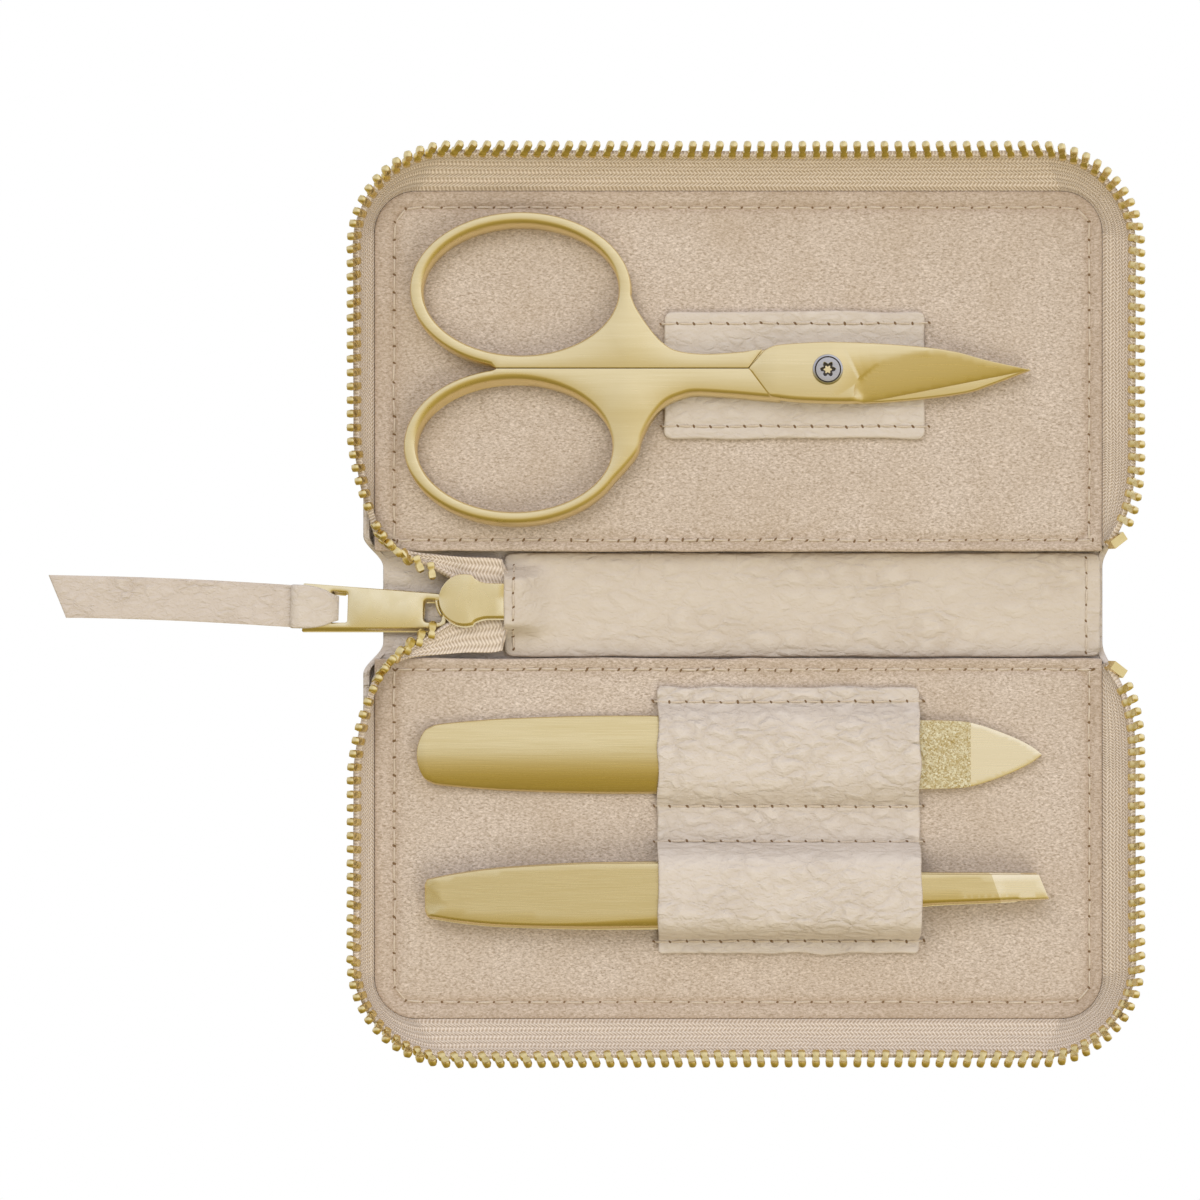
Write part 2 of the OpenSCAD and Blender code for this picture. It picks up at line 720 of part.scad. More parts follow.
// A headed screw with a six-lobed socket; it turns in the back half and is fast in the front one
module pivot_screw() {
    socket_r = 0.75;
    socket_depth = 0.4;
    lobe_r = 0.3;
    color(steel) translate([scissors_x, scissors_y, 0]) difference() {
        union() {
            translate([0, 0, scissors_z])
                cylinder(h = scissors_top - scissors_z, r = screw_r, $fn = round_fn);
            translate([0, 0, scissors_top])
                cylinder(h = screw_head_h, r = screw_head_r, $fn = round_fn);
        }
        translate([0, 0, scissors_top + screw_head_h - socket_depth]) {
            cylinder(h = 1, r = socket_r, $fn = round_fn);
            for (a = [0 : 60 : 300])
                rotate([0, 0, a]) translate([socket_r, 0, 0]) cylinder(h = 1, r = lobe_r, $fn = 24);
        }
    }
}

// ---------- nail file ----------

file_x = -46.4;
file_z = floor_z + touch;
file_tip_x = file_x + file_len;
point_len = 10.2;
grit_x = file_tip_x - point_len - grit_len;
blade_start_x = grit_x - 3;

// Half widths of the file from its round end to its point, as shares of its widest half width
module file_plan() {
    h = file_w / 2;
    p = file_tip_x - point_len;
    side = [
        [file_x, 0.46 * h], [file_x + 1, 0.7 * h], [file_x + 3.4, 0.8 * h], [file_x + 14, 0.93 * h],
        [file_x + 26, h], [file_x + 41, 0.98 * h], [file_x + 56, 0.93 * h], [grit_x, 0.88 * h],
        [p, 0.87 * h], [p + 4, 0.76 * h], [p + 7.5, 0.45 * h], [file_tip_x, 0.02 * h]
    ];
    polygon(concat(side, [for (i = [len(side) - 1 : -1 : 0]) [side[i][0], -side[i][1]]]));
}

// A round-backed handle that runs into a flat blade
module nail_file() {
    crown = file_t - file_edge_t;
    back_r = (file_w * file_w / 4 + crown * crown) / (2 * crown);
    color(brushed_gold) translate([0, file_y, file_z]) intersection() {
        linear_extrude(file_t + 1) file_plan();
        union() {
            translate([file_x - 1, 0, file_t - back_r]) rotate([0, 90, 0])
                cylinder(h = blade_start_x - file_x + 1, r = back_r, $fn = 96);
            translate([blade_start_x - 1, -file_w, 0])
                cube([file_tip_x - blade_start_x + 2, 2 * file_w, file_blade_t]);
        }
    }
}

module file_coating() {
    color(champagne) translate([0, file_y, file_z + file_blade_t]) intersection() {
        linear_extrude(grit_t) file_plan();
        translate([grit_x, -file_w, -1]) cube([grit_len, 2 * file_w, 3]);
    }
}

// ---------- tweezers ----------

tweezers_x = -45.2;
tweezers_z = floor_z + touch;
tweezers_mid_z = tweezers_z + tweezers_h / 2;
weld_x = tweezers_x + weld_len;
tip_slant = 1.4;
// They lie a little turned in their channel
tweezers_turn = 1.1;

module tweezers_plan() {
    h = tweezers_w / 2;
    tip = tweezers_x + tweezers_len;
    polygon([
        [tweezers_x, 0.62 * h], [tweezers_x + 1, 0.68 * h], [tweezers_x + 14, 0.95 * h],
        [tweezers_x + 23, h], [tweezers_x + 36, 0.95 * h], [tweezers_x + 56, 0.7 * h],
        [tweezers_x + 71, 0.49 * h], [tip - 8, 0.43 * h], [tip - tip_slant, 0.39 * h],
        [tip, -0.38 * h], [tip - 8, -0.42 * h], [tweezers_x + 71, -0.49 * h],
        [tweezers_x + 56, -0.7 * h], [tweezers_x + 36, -0.95 * h],
        [tweezers_x + 23, -h], [tweezers_x + 14, -0.95 * h], [tweezers_x + 1, -0.68 * h],
        [tweezers_x, -0.62 * h]
    ]);
}

// Height of an arm's outer face over the middle plane, for t from 0 at the joined end to 1 at the
// tip; the curve's middle point is placed so that its crown is half the tweezers' height
arm_top = tweezers_h / 2;
tip_top = arm_t + tip_gap / 2;
arm_bulge = arm_top + sqrt((arm_top - arm_t) * (arm_top - tip_top));
function arm_out(t) = bezier(arm_t, arm_bulge, tip_top, t);
module arm_side(start_x) {
    steps = 24;
    tip = tweezers_x + tweezers_len;
    ts = [for (i = [0 : steps]) i / steps];
    outer = [for (t = ts) [lerp(start_x, tip, t), arm_out(t)]];
    inner = [for (i = [steps : -1 : 0]) [outer[i][0], outer[i][1] - arm_t]];
    polygon(concat(outer, inner));
}

// The arm above the middle plane, cut from its side view and its plan
module arm(start_x) {
    intersection() {
        translate([0, tweezers_w, 0]) rotate([90, 0, 0]) linear_extrude(2 * tweezers_w) arm_side(start_x);
        translate([0, 0, -1]) linear_extrude(tweezers_h) tweezers_plan();
    }
}

module on_lining() {
    translate([0, tweezers_y, tweezers_mid_z]) rotate([0, 0, tweezers_turn]) children();
}

// The joined end is part of the lower arm, and the upper arm springs from it
module tweezers_lower_arm() {
    color(brushed_gold) on_lining() union() {
        mirror([0, 0, 1]) arm(weld_x - touch);
        intersection() {
            translate([tweezers_x, -tweezers_w, -arm_t]) cube([weld_len, 2 * tweezers_w, 2 * arm_t]);
            translate([0, 0, -arm_t]) linear_extrude(2 * arm_t) tweezers_plan();
        }
    }
}

module tweezers_upper_arm() {
    color(brushed_gold) on_lining() arm(weld_x + touch);
}

lower_cover();
upper_cover();
spine_cover();
spine_patch();
lower_board();
upper_board();
lower_padding();
upper_padding();
lower_lining();
upper_lining();
lower_tape();
upper_tape();
lower_tape_end();
upper_tape_end();
lower_teeth();
upper_teeth();
lower_teeth_end();
upper_teeth_end();
lower_top_stop();
upper_top_stop();
bottom_stop();
slider();
pull_link();
strap_loop();
strap_tail();
scissors_rest();
tool_loop();
scissors_front();
scissors_back();
pivot_screw();
nail_file();
file_coating();
tweezers_lower_arm();
tweezers_upper_arm();
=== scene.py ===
import math

import bmesh
import bpy
import numpy as np
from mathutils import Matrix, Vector
from mathutils.bvhtree import BVHTree
from mathutils.geometry import delaunay_2d_cdt


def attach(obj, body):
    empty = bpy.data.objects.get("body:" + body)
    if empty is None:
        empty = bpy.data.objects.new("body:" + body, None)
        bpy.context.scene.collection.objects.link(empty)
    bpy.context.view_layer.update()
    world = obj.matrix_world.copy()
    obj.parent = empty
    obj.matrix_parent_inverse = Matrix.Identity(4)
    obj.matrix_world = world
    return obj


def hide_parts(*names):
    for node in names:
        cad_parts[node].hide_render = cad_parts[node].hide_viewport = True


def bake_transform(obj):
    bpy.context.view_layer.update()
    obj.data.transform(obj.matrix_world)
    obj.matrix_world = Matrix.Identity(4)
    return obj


# A zipped leather manicure case, lying open. Every size below is in millimetres, in the frame's axes.
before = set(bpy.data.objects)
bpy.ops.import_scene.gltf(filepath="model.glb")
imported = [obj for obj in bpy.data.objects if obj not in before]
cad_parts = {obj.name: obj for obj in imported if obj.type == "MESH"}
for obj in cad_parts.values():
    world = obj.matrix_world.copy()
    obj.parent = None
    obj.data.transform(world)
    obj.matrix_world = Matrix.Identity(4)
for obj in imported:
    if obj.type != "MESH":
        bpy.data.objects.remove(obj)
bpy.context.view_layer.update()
mm = 0.001
weld = 2e-7
random = np.random.default_rng(7)
print("frame loaded:", len(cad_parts), "nodes")


# Mesh helpers.

# An object from points in millimetres and faces
def putMesh(name, points, faces, uv=None):
    mesh = bpy.data.meshes.new(name)
    mesh.from_pydata((np.asarray(points, float) * mm).tolist(), [], [list(f) for f in faces])
    if uv is not None:
        corner = np.zeros(len(mesh.loops), int)
        mesh.loops.foreach_get("vertex_index", corner)
        layer = mesh.uv_layers.new(name="weave")
        layer.data.foreach_set("uv", np.asarray(uv, float)[corner].ravel())
    mesh.polygons.foreach_set("use_smooth", np.ones(len(mesh.polygons), bool))
    obj = bpy.data.objects.new(name, mesh)
    bpy.context.scene.collection.objects.link(obj)
    return obj


# Merges doubles, turns the faces outwards and gives the material. With fill it also closes the slits
# that stay open where an inset line crosses itself in a sharp corner.
def finish(obj, material, sharp=35, fill=False):
    work = bmesh.new()
    work.from_mesh(obj.data)
    bmesh.ops.remove_doubles(work, verts=work.verts, dist=weld)
    if fill:
        bmesh.ops.holes_fill(work, edges=[e for e in work.edges if e.is_boundary], sides=0)
    bmesh.ops.recalc_face_normals(work, faces=work.faces)
    work.to_mesh(obj.data)
    work.free()
    obj.data.set_sharp_from_angle(angle=math.radians(sharp))
    obj.data.materials.append(material)
    return obj


# Quads over a grid of points, rows by columns, closed round the columns where asked
def gridFaces(rows, cols, wrap=False, start=0):
    i = np.arange(rows - 1)[:, None]
    j = np.arange(cols if wrap else cols - 1)[None, :]
    a, b = i * cols + j, i * cols + (j + 1) % cols
    return (np.stack([a, b, b + cols, a + cols], -1) + start).reshape(-1, 4)


# Joins several (points, faces) into one pair
def gather(parts):
    start, points, faces = 0, [], []
    for p, f in parts:
        p = np.asarray(p, float).reshape(-1, 3)
        points.append(p)
        faces += [[start + k for k in face] for face in f]
        start += len(p)
    return np.concatenate(points), faces


# A closed skin between two grids of the same shape: both surfaces, and a wall round the border. A
# folded row lies double on itself and needs no wall.
def shell(top, bottom, folded=None):
    rows, cols = top.shape[:2]
    size = rows * cols
    index = np.arange(size).reshape(rows, cols)
    border = np.concatenate([index[0, :-1], index[:-1, -1], index[-1, :0:-1], index[:0:-1, 0]])
    nextOne = np.roll(border, -1)
    if folded is not None:
        walled = ~(np.isin(border, index[folded]) & np.isin(nextOne, index[folded]))
        border, nextOne = border[walled], nextOne[walled]
    wall = np.stack([border, nextOne, nextOne + size, border + size], -1)
    faces = np.concatenate([gridFaces(rows, cols), gridFaces(rows, cols, start=size)[:, ::-1], wall[:, ::-1]])
    return np.concatenate([top.reshape(-1, 3), bottom.reshape(-1, 3)]), faces


# A closed skin over rings of points, rows by columns; each end is drawn in to the ring's middle
def tube(rings):
    rows, cols = rings.shape[:2]
    points = np.concatenate([rings.reshape(-1, 3), rings[:1].mean(1), rings[-1:].mean(1)])
    j = np.arange(cols)
    k = (j + 1) % cols
    low = np.stack([k, j, np.full(cols, rows * cols)], -1)
    high = np.stack([j, k, np.full(cols, rows * cols + 1 - (rows - 1) * cols)], -1) + (rows - 1) * cols
    return points, gridFaces(rows, cols, wrap=True).tolist() + low.tolist() + high.tolist()


# Copies of one small shape, each turned by its own three axes (rows of turns) and moved to its place
def copies(points, faces, places, turns):
    placed = np.einsum("vk,nkc->nvc", points, turns) + places[:, None, :]
    count, size = len(places), len(points)
    out = []
    for corners in (3, 4):
        some = np.array([f for f in faces if len(f) == corners], int).reshape(-1, corners)
        out += (some[None] + (np.arange(count) * size)[:, None, None]).reshape(-1, corners).tolist()
    return placed.reshape(-1, 3), out


def unit(v):
    return v / np.maximum(np.linalg.norm(v, axis=-1, keepdims=True), 1e-9)


def smooth(t):
    t = np.clip(t, 0, 1)
    return t * t * (3 - 2 * t)


# Distances along a line of points
def lengths(line):
    return np.concatenate([[0], np.cumsum(np.linalg.norm(np.diff(line, axis=0), axis=1))])


# Points of a line at the given distances along it
def pointsAt(line, where):
    run = lengths(line)
    return np.stack([np.interp(where, run, line[:, k]) for k in range(line.shape[1])], -1)


# A Catmull-Rom curve through a few points, step points to each stretch
def curveThrough(points, step, closed=False):
    p = np.asarray(points, float)
    ends = (p[-1:], p[:2]) if closed else (2 * p[:1] - p[1:2], 2 * p[-1:] - p[-2:-1])
    p = np.concatenate([ends[0], p, ends[1]])
    t = (np.arange(step) / step)[None, :, None]
    a, b, c, d = (p[k:len(p) - 3 + k][:, None, :] for k in range(4))
    body = 0.5 * (2 * b + (c - a) * t + (2 * a - 5 * b + 4 * c - d) * t ** 2 + (3 * b - a - 3 * c + d) * t ** 3)
    body = body.reshape(-1, p.shape[1])
    return body if closed else np.concatenate([body, p[-2:-1]])


# Soft bumps in the plane: a sum of a few waves in random directions, about -1 to 1
def ripples(x, y, size, seed):
    waves = 7
    pick = np.random.default_rng(seed)
    angle, phase = pick.uniform(0, math.tau, waves), pick.uniform(0, math.tau, waves)
    speed = math.tau / size * pick.uniform(0.6, 1.5, waves)
    total = sum(np.sin((x * math.cos(a) + y * math.sin(a)) * k + f) for a, k, f in zip(angle, speed, phase))
    return total / waves ** 0.5 / 1.4


# Materials.

# A colour from screen values, 0 to 255, as the linear numbers that Blender takes
def paint(red, green, blue):
    c = np.array([red, green, blue]) / 255
    return (*np.where(c <= 0.04045, c / 12.92, ((c + 0.055) / 1.055) ** 2.4), 1.0)


# Adds a node; each input is a number, a colour or another node's socket
def add(tree, kind, inputs=None, **settings):
    made = tree.nodes.new("ShaderNode" + kind)
    for key, value in settings.items():
        setattr(made, key, value)
    for key, value in (inputs or {}).items():
        if isinstance(value, bpy.types.NodeSocket):
            tree.links.new(value, made.inputs[key])
        else:
            made.inputs[key].default_value = value
    return made


def calc(tree, operation, first, second=0.0):
    return add(tree, "Math", {0: first, 1: second}, operation=operation).outputs[0]


# Several heights or tones, each times its share, added up
def mixed(tree, *terms):
    total = None
    for value, share in terms:
        part = calc(tree, "MULTIPLY", value, share)
        total = part if total is None else calc(tree, "ADD", total, part)
    return total


def blendColor(tree, share, first, second):
    made = add(tree, "Mix", data_type="RGBA")
    for socket, value in zip((made.inputs[0], made.inputs[6], made.inputs[7]), (share, first, second)):
        if isinstance(value, bpy.types.NodeSocket):
            tree.links.new(value, socket)
        else:
            socket.default_value = value
    return made.outputs[2]


def fromTo(tree, value, low, high, newLow=0.0, newHigh=1.0):
    keys = {"Value": value, "From Min": low, "From Max": high, "To Min": newLow, "To Max": newHigh}
    return add(tree, "MapRange", keys, clamp=True).outputs[0]


def newMaterial(name, **fixed):
    made = bpy.data.materials.new(name)
    made.use_nodes = True
    tree = made.node_tree
    shader = next(n for n in tree.nodes if n.type == "BSDF_PRINCIPLED")
    for key, value in fixed.items():
        shader.inputs[key].default_value = value
    return made, tree, shader


# Object coordinates in metres, turned about Z and stretched along the new X and Y
def place(tree, turn=0.0, stretch=(1, 1, 1)):
    where = add(tree, "TexCoord").outputs["Object"]
    keys = {"Vector": where, "Rotation": (0, 0, math.radians(turn)), "Scale": stretch}
    return add(tree, "Mapping", keys, vector_type="POINT").outputs[0]


def noise(tree, where, size, detail=3.0, rough=0.55, **more):
    keys = {"Vector": where, "Scale": 1 / (size * mm), "Detail": detail, "Roughness": rough, **more}
    return add(tree, "TexNoise", keys).outputs["Fac"]


def bumpUp(tree, shader, height, depth, strength=1.0):
    keys = {"Height": height, "Distance": depth * mm, "Strength": strength}
    tree.links.new(add(tree, "Bump", keys).outputs[0], shader.inputs["Normal"])


# Pebbled leather: cells with soft edges, warped and drawn out along one direction, over a fine grain.
# The height is the cell's edge distance, eased, plus two noises; the edges are a little darker, painted shade in the
# creases between the cells.
leatherLook = {"drawnOut": 0.62}


def leatherMaterial(name, cell, turn, depth, pale, deep, fine=1.0):
    made, tree, shader = newMaterial(name, **{"Roughness": 0.5, "Specular IOR Level": 0.35})
    where = place(tree, turn, (leatherLook["drawnOut"], 1, 1))
    warp = add(tree, "TexNoise", {"Vector": where, "Scale": 0.9 / (cell * mm), "Detail": 3.0}).outputs["Color"]
    bent = add(tree, "VectorMath", {0: warp, 1: (-0.5, -0.5, -0.5)}, operation="ADD").outputs[0]
    bent = add(tree, "VectorMath", {0: bent, "Scale": cell * 1.1 * mm}, operation="SCALE").outputs[0]
    bent = add(tree, "VectorMath", {0: where, 1: bent}, operation="ADD").outputs[0]
    keys = {"Vector": bent, "Scale": 1 / (cell * mm), "Randomness": 0.9}
    edge = add(tree, "TexVoronoi", keys, feature="DISTANCE_TO_EDGE").outputs["Distance"]
    keys = {**keys, "Scale": 2.6 / (cell * mm)}
    small = add(tree, "TexVoronoi", keys, feature="DISTANCE_TO_EDGE").outputs["Distance"]
    patchy = fromTo(tree, noise(tree, where, cell * 4.5), 0.42, 0.6)
    cells = fromTo(tree, edge, 0.0, 0.34)
    smallCells = fromTo(tree, small, 0.0, 0.34)
    grain = noise(tree, where, 0.28, 4)
    cloud = noise(tree, where, 9, 2)
    height = mixed(tree, (cells, calc(tree, "MULTIPLY_ADD", patchy, 0.6)), (smallCells, 0.22), (grain, 0.3 * fine))
    bumpUp(tree, shader, height, depth)
    # Painted shade: the colour goes towards deep at the cell edges, in the creases
    tone = calc(tree, "MULTIPLY", calc(tree, "SUBTRACT", 1.0, cells), fromTo(tree, patchy, 0, 1, 0.15, 0.42))
    color = blendColor(tree, tone, paint(*pale), paint(*deep))
    shade = fromTo(tree, cloud, 0.3, 0.7, 0.0, 0.35)
    color = blendColor(tree, shade, color, paint(*[round(c * 0.95) for c in pale]))
    tree.links.new(color, shader.inputs["Base Color"])
    tree.links.new(fromTo(tree, grain, 0.3, 0.7, 0.44, 0.6), shader.inputs["Roughness"])
    return made


leather = leatherMaterial("leather", 2.1, 62, 0.26, (210, 199, 184), (172, 156, 136))
smoothLeather = leatherMaterial("smoothLeather", 1.5, 20, 0.12, (208, 197, 181), (184, 168, 147), 0.8)
patchLeather = leatherMaterial("patchLeather", 2.4, 24, 0.22, (205, 193, 175), (176, 159, 137), 0.7)
strapLeather = leatherMaterial("strapLeather", 1.25, 75, 0.16, (205, 193, 178), (172, 155, 134))


# Suede: short naps of light and dark drawn out in a slowly turning direction, with soft clouds, and painted shade
# towards a dark brown where the lining's shade attribute says
def suedeMaterial():
    made, tree, shader = newMaterial("suede", **{"Roughness": 0.92, "Specular IOR Level": 0.12,
                                                 "Sheen Weight": 0.16, "Sheen Roughness": 0.5})
    where = place(tree, 38, (0.55, 1, 1))
    across = place(tree, -24, (0.5, 1, 1))
    nap = noise(tree, where, 0.3, 3, 0.66, Distortion=0.6)
    cross = noise(tree, across, 0.22, 3, 0.66, Distortion=0.4)
    both = calc(tree, "MULTIPLY", calc(tree, "ADD", nap, cross), 0.5)
    cloud = noise(tree, place(tree), 11, 3)
    color = blendColor(tree, fromTo(tree, both, 0.36, 0.64), paint(156, 139, 118), paint(226, 211, 194))
    color = blendColor(tree, fromTo(tree, cloud, 0.35, 0.7, 0, 0.3), color, paint(170, 149, 122))
    # Painted shade: the lining's shade attribute darkens the colour towards a dark brown
    paintedLiningShade = add(tree, "Attribute", attribute_name="shade", attribute_type="GEOMETRY").outputs["Fac"]
    color = blendColor(tree, paintedLiningShade, color, paint(150, 122, 92))
    tree.links.new(color, shader.inputs["Base Color"])
    bumpUp(tree, shader, both, 0.16, 0.8)
    return made


# Twill: a UV in millimetres, along the tape and across it. Slanted threads turn back from row to row:
# the height is a sine of (along + zigzag of across), and a second sine marks the rows.
def twillMaterial():
    made, tree, shader = newMaterial("tape", **{"Roughness": 0.85, "Specular IOR Level": 0.2, "Sheen Weight": 0.1})
    both = add(tree, "UVMap", uv_map="weave").outputs[0]
    parts = add(tree, "SeparateXYZ", {0: both})
    rowWide, thread = 0.62, 0.52
    zigzag = calc(tree, "PINGPONG", parts.outputs[1], rowWide)
    slant = calc(tree, "ADD", parts.outputs[0], calc(tree, "MULTIPLY", zigzag, 0.9))
    ridge = calc(tree, "SINE", calc(tree, "MULTIPLY", slant, math.tau / thread))
    rows = calc(tree, "SINE", calc(tree, "MULTIPLY", parts.outputs[1], math.tau / rowWide))
    fuzz = noise(tree, place(tree), 0.25, 3)
    height = mixed(tree, (ridge, 0.5), (rows, 0.3), (fuzz, 0.9))
    # The colour follows the height: painted shade between the threads and painted light on their tops, over the random
    # tone of the fuzz
    color = blendColor(tree, fromTo(tree, height, -0.35, 1.0), paint(178, 158, 132), paint(232, 217, 197))
    tree.links.new(color, shader.inputs["Base Color"])
    bumpUp(tree, shader, height, 0.09)
    return made


polished = (251, 238, 200)


# Metal with fine brush lines along X over a slow change of tone. past = (slope, start) marks a polished
# tip, where x + slope * y lies above start, in millimetres.
def brushedMaterial(name, color, deep, rough, lines=0.3, depth=0.004, past=None):
    made, tree, shader = newMaterial(name, **{"Metallic": 1.0})
    fine = noise(tree, place(tree, 0, (0.02, 1, 1)), 0.16, 4, 0.7)
    broad = noise(tree, place(tree, 0, (0.06, 1, 1)), 0.9, 3, 0.6)
    both = mixed(tree, (fine, 0.65), (broad, 0.35))
    tone = fromTo(tree, both, 0.36, 0.64, 0, lines)
    base = blendColor(tree, tone, paint(*color), paint(*deep))
    if past:
        xyz = add(tree, "SeparateXYZ", {0: add(tree, "TexCoord").outputs["Object"]}).outputs
        across = calc(tree, "ADD", xyz[0], calc(tree, "MULTIPLY", xyz[1], past[0]))
        base = blendColor(tree, calc(tree, "GREATER_THAN", across, past[1] * mm), base, paint(*polished))
    tree.links.new(base, shader.inputs["Base Color"])
    tree.links.new(fromTo(tree, both, 0.3, 0.7, rough - 0.06, rough + 0.08), shader.inputs["Roughness"])
    bumpUp(tree, shader, both, depth)
    return made


# Cast and plated metal: faint mottling, slight pits
def castMaterial(name, color, deep, rough):
    made, tree, shader = newMaterial(name, **{"Metallic": 1.0})
    mottle = noise(tree, place(tree), 2.2, 3, 0.5)
    tone = blendColor(tree, fromTo(tree, mottle, 0.35, 0.7, 0, 0.4), paint(*color), paint(*deep))
    tree.links.new(tone, shader.inputs["Base Color"])
    tree.links.new(fromTo(tree, mottle, 0.3, 0.7, rough - 0.05, rough + 0.07), shader.inputs["Roughness"])
    bumpUp(tree, shader, mottle, 0.0015)
    return made


# Abrasive: tiny facets, each with its own tilt and tone
def gritMaterial():
    made, tree, shader = newMaterial("grit", **{"Metallic": 0.85, "Roughness": 0.38})
    where = place(tree)
    keys = {"Vector": where, "Scale": 1 / (0.2 * mm)}
    facets = add(tree, "TexVoronoi", keys)
    tone = add(tree, "SeparateXYZ", {0: facets.outputs["Color"]}).outputs[0]
    color = blendColor(tree, tone, paint(204, 180, 118), paint(255, 248, 212))
    tree.links.new(color, shader.inputs["Base Color"])
    height = calc(tree, "ADD", calc(tree, "MULTIPLY", tone, 0.6), noise(tree, where, 0.12, 2))
    bumpUp(tree, shader, height, 0.06)
    return made


# A plain spun or moulded finish: two close tones in a noise, with a fine grain
def plainMaterial(name, color, deep, rough, size=0.5, depth=0.02):
    made, tree, shader = newMaterial(name)
    grain = noise(tree, place(tree), size, 4, 0.6)
    tone = blendColor(tree, fromTo(tree, grain, 0.35, 0.65), paint(*color), paint(*deep))
    tree.links.new(tone, shader.inputs["Base Color"])
    tree.links.new(fromTo(tree, grain, 0.3, 0.7, rough - 0.05, rough + 0.05), shader.inputs["Roughness"])
    bumpUp(tree, shader, grain, depth)
    return made


suede = suedeMaterial()
twill = twillMaterial()
brushedGold = brushedMaterial("brushedGold", (241, 224, 172), (226, 206, 146), 0.3)
fileGold = brushedMaterial("fileGold", (234, 216, 162), (212, 190, 122), 0.27, 0.45, 0.005, (0, 33.3))
tweezersGold = brushedMaterial("tweezersGold", (236, 219, 168), (216, 195, 130), 0.27, 0.45, 0.004, (0.35, 22.6))
paleGold = castMaterial("paleGold", (247, 233, 188), (238, 222, 168), 0.26)
zipGold = castMaterial("zipGold", (238, 220, 160), (214, 192, 124), 0.24)
grit = gritMaterial()
bolt = brushedMaterial("screwSteel", (196, 194, 190), (168, 166, 162), 0.24)
# Dark grey that paints the shade in the screw head's groove and socket
paintedScrewShade = plainMaterial("paintedScrewShade", (74, 66, 56), (52, 46, 38), 0.55)
thread = plainMaterial("thread", (212, 198, 178), (190, 174, 150), 0.8, 0.12, 0.03)
# Dark brown painted into each needle hole as its shade
paintedHoleShade = plainMaterial("paintedHoleShade", (128, 102, 72), (104, 80, 54), 0.9, 0.1, 0.02)
boardGrey = plainMaterial("boardGrey", (150, 142, 130), (132, 124, 112), 0.8, 0.4)
foamWhite = plainMaterial("foamWhite", (232, 228, 216), (214, 208, 194), 0.9, 0.3, 0.08)
print("materials made")


# Stage: light and camera.

# The camera looks straight down: a frame of the given width at the height of the tools
stageLook = {"middle": (-20.0, 0.7), "sight": 6.0, "cameraUp": 550.0, "wide": 172.8}

# Two square panels shape the cloth and leather; the metals mirror only the room
panelSize = 420
panels = {"keyPanel": ((-260, 420, 620), 2.1), "fillPanel": ((200, -420, 480), 1.75)}

# The photograph is cut out on white, so there is no floor. The room is white to the eye. What it sheds
# depends on the direction's Y: cool and bright towards +Y, warm and dark towards -Y, as the round
# back of the file shows it, and a little darker towards -X. Each row is (direction's Y, tone).
roomTones = [
    (-1.0, (0.3, 0.23, 0.06)), (-0.8, (0.36, 0.28, 0.09)), (-0.48, (0.46, 0.36, 0.1)), (-0.21, (0.67, 0.58, 0.36)),
    (0.0, (0.8, 0.79, 0.83)), (0.14, (0.92, 0.93, 1.08)), (0.74, (0.92, 0.93, 1.08)), (1.0, (0.74, 0.74, 0.78)),
]
brightest = 1.1


def makeStage():
    world = bpy.data.worlds.new("softRoom")
    bpy.context.scene.world = world
    world.use_nodes = True
    tree = world.node_tree
    back = tree.nodes["Background"]
    way = add(tree, "SeparateXYZ", {0: add(tree, "TexCoord").outputs["Generated"]})
    ramp = add(tree, "ValToRGB", {0: calc(tree, "MULTIPLY_ADD", way.outputs[1], 0.5)})
    elements = ramp.color_ramp.elements
    for spot, _ in roomTones[1:-1]:
        elements.new((spot + 1) / 2)
    for element, (_, tone) in zip(elements, roomTones):
        element.color = (*[c / brightest for c in tone], 1)
    seen = add(tree, "LightPath").outputs["Is Camera Ray"]
    tree.links.new(blendColor(tree, seen, ramp.outputs[0], (1, 1, 1, 1)), back.inputs["Color"])
    sideways = calc(tree, "MULTIPLY", fromTo(tree, way.outputs[0], -0.3, 0.2, 0.84, 1.06), brightest)
    tree.links.new(blendColor(tree, seen, sideways, (1, 1, 1, 1)), back.inputs["Strength"])

    for name, (spot, power) in panels.items():
        light = bpy.data.lights.new(name, "AREA")
        light.shape, light.size, light.energy = "SQUARE", panelSize * mm, power
        lamp = bpy.data.objects.new(name, light)
        lamp.location = Vector(spot) * mm
        lamp.rotation_euler = (-Vector(spot)).to_track_quat("-Z", "Y").to_euler()
        lamp.visible_glossy = False
        bpy.context.scene.collection.objects.link(lamp)

    lens = bpy.data.cameras.new("photoCamera")
    lens.angle = 2 * math.atan(stageLook["wide"] / 2 / stageLook["cameraUp"])
    lens.clip_start, lens.clip_end = 0.01, 10
    camera = bpy.data.objects.new("photoCamera", lens)
    camera.location = Vector((*stageLook["middle"], stageLook["sight"] + stageLook["cameraUp"])) * mm
    bpy.context.scene.collection.objects.link(camera)
    bpy.context.scene.camera = camera
    bpy.context.scene.view_settings.view_transform = "Standard"


makeStage()
print("stage made")


# The case: outer leather, linings, padding, inner patch.

# Sizes from the source of the solids: a lining reaches from near to far along Y and to half along X
case = {
    "half": 52.5, "near": 7.75, "far": 59.7, "corner": 6.0, "floor": 4.0, "underLining": 3.2,
    "stitchIn": {"left": 2.75, "far": 2.25, "right": 1.75, "near": 1.6}, "stitchCorner": 2.6,
}
sides = {"upper": 1, "lower": -1}


# A kept solid of the CAD in its own material
def dress(name, material):
    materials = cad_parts[name].data.materials
    materials.clear()
    materials.append(material)


dress("bottom_stop", zipGold)


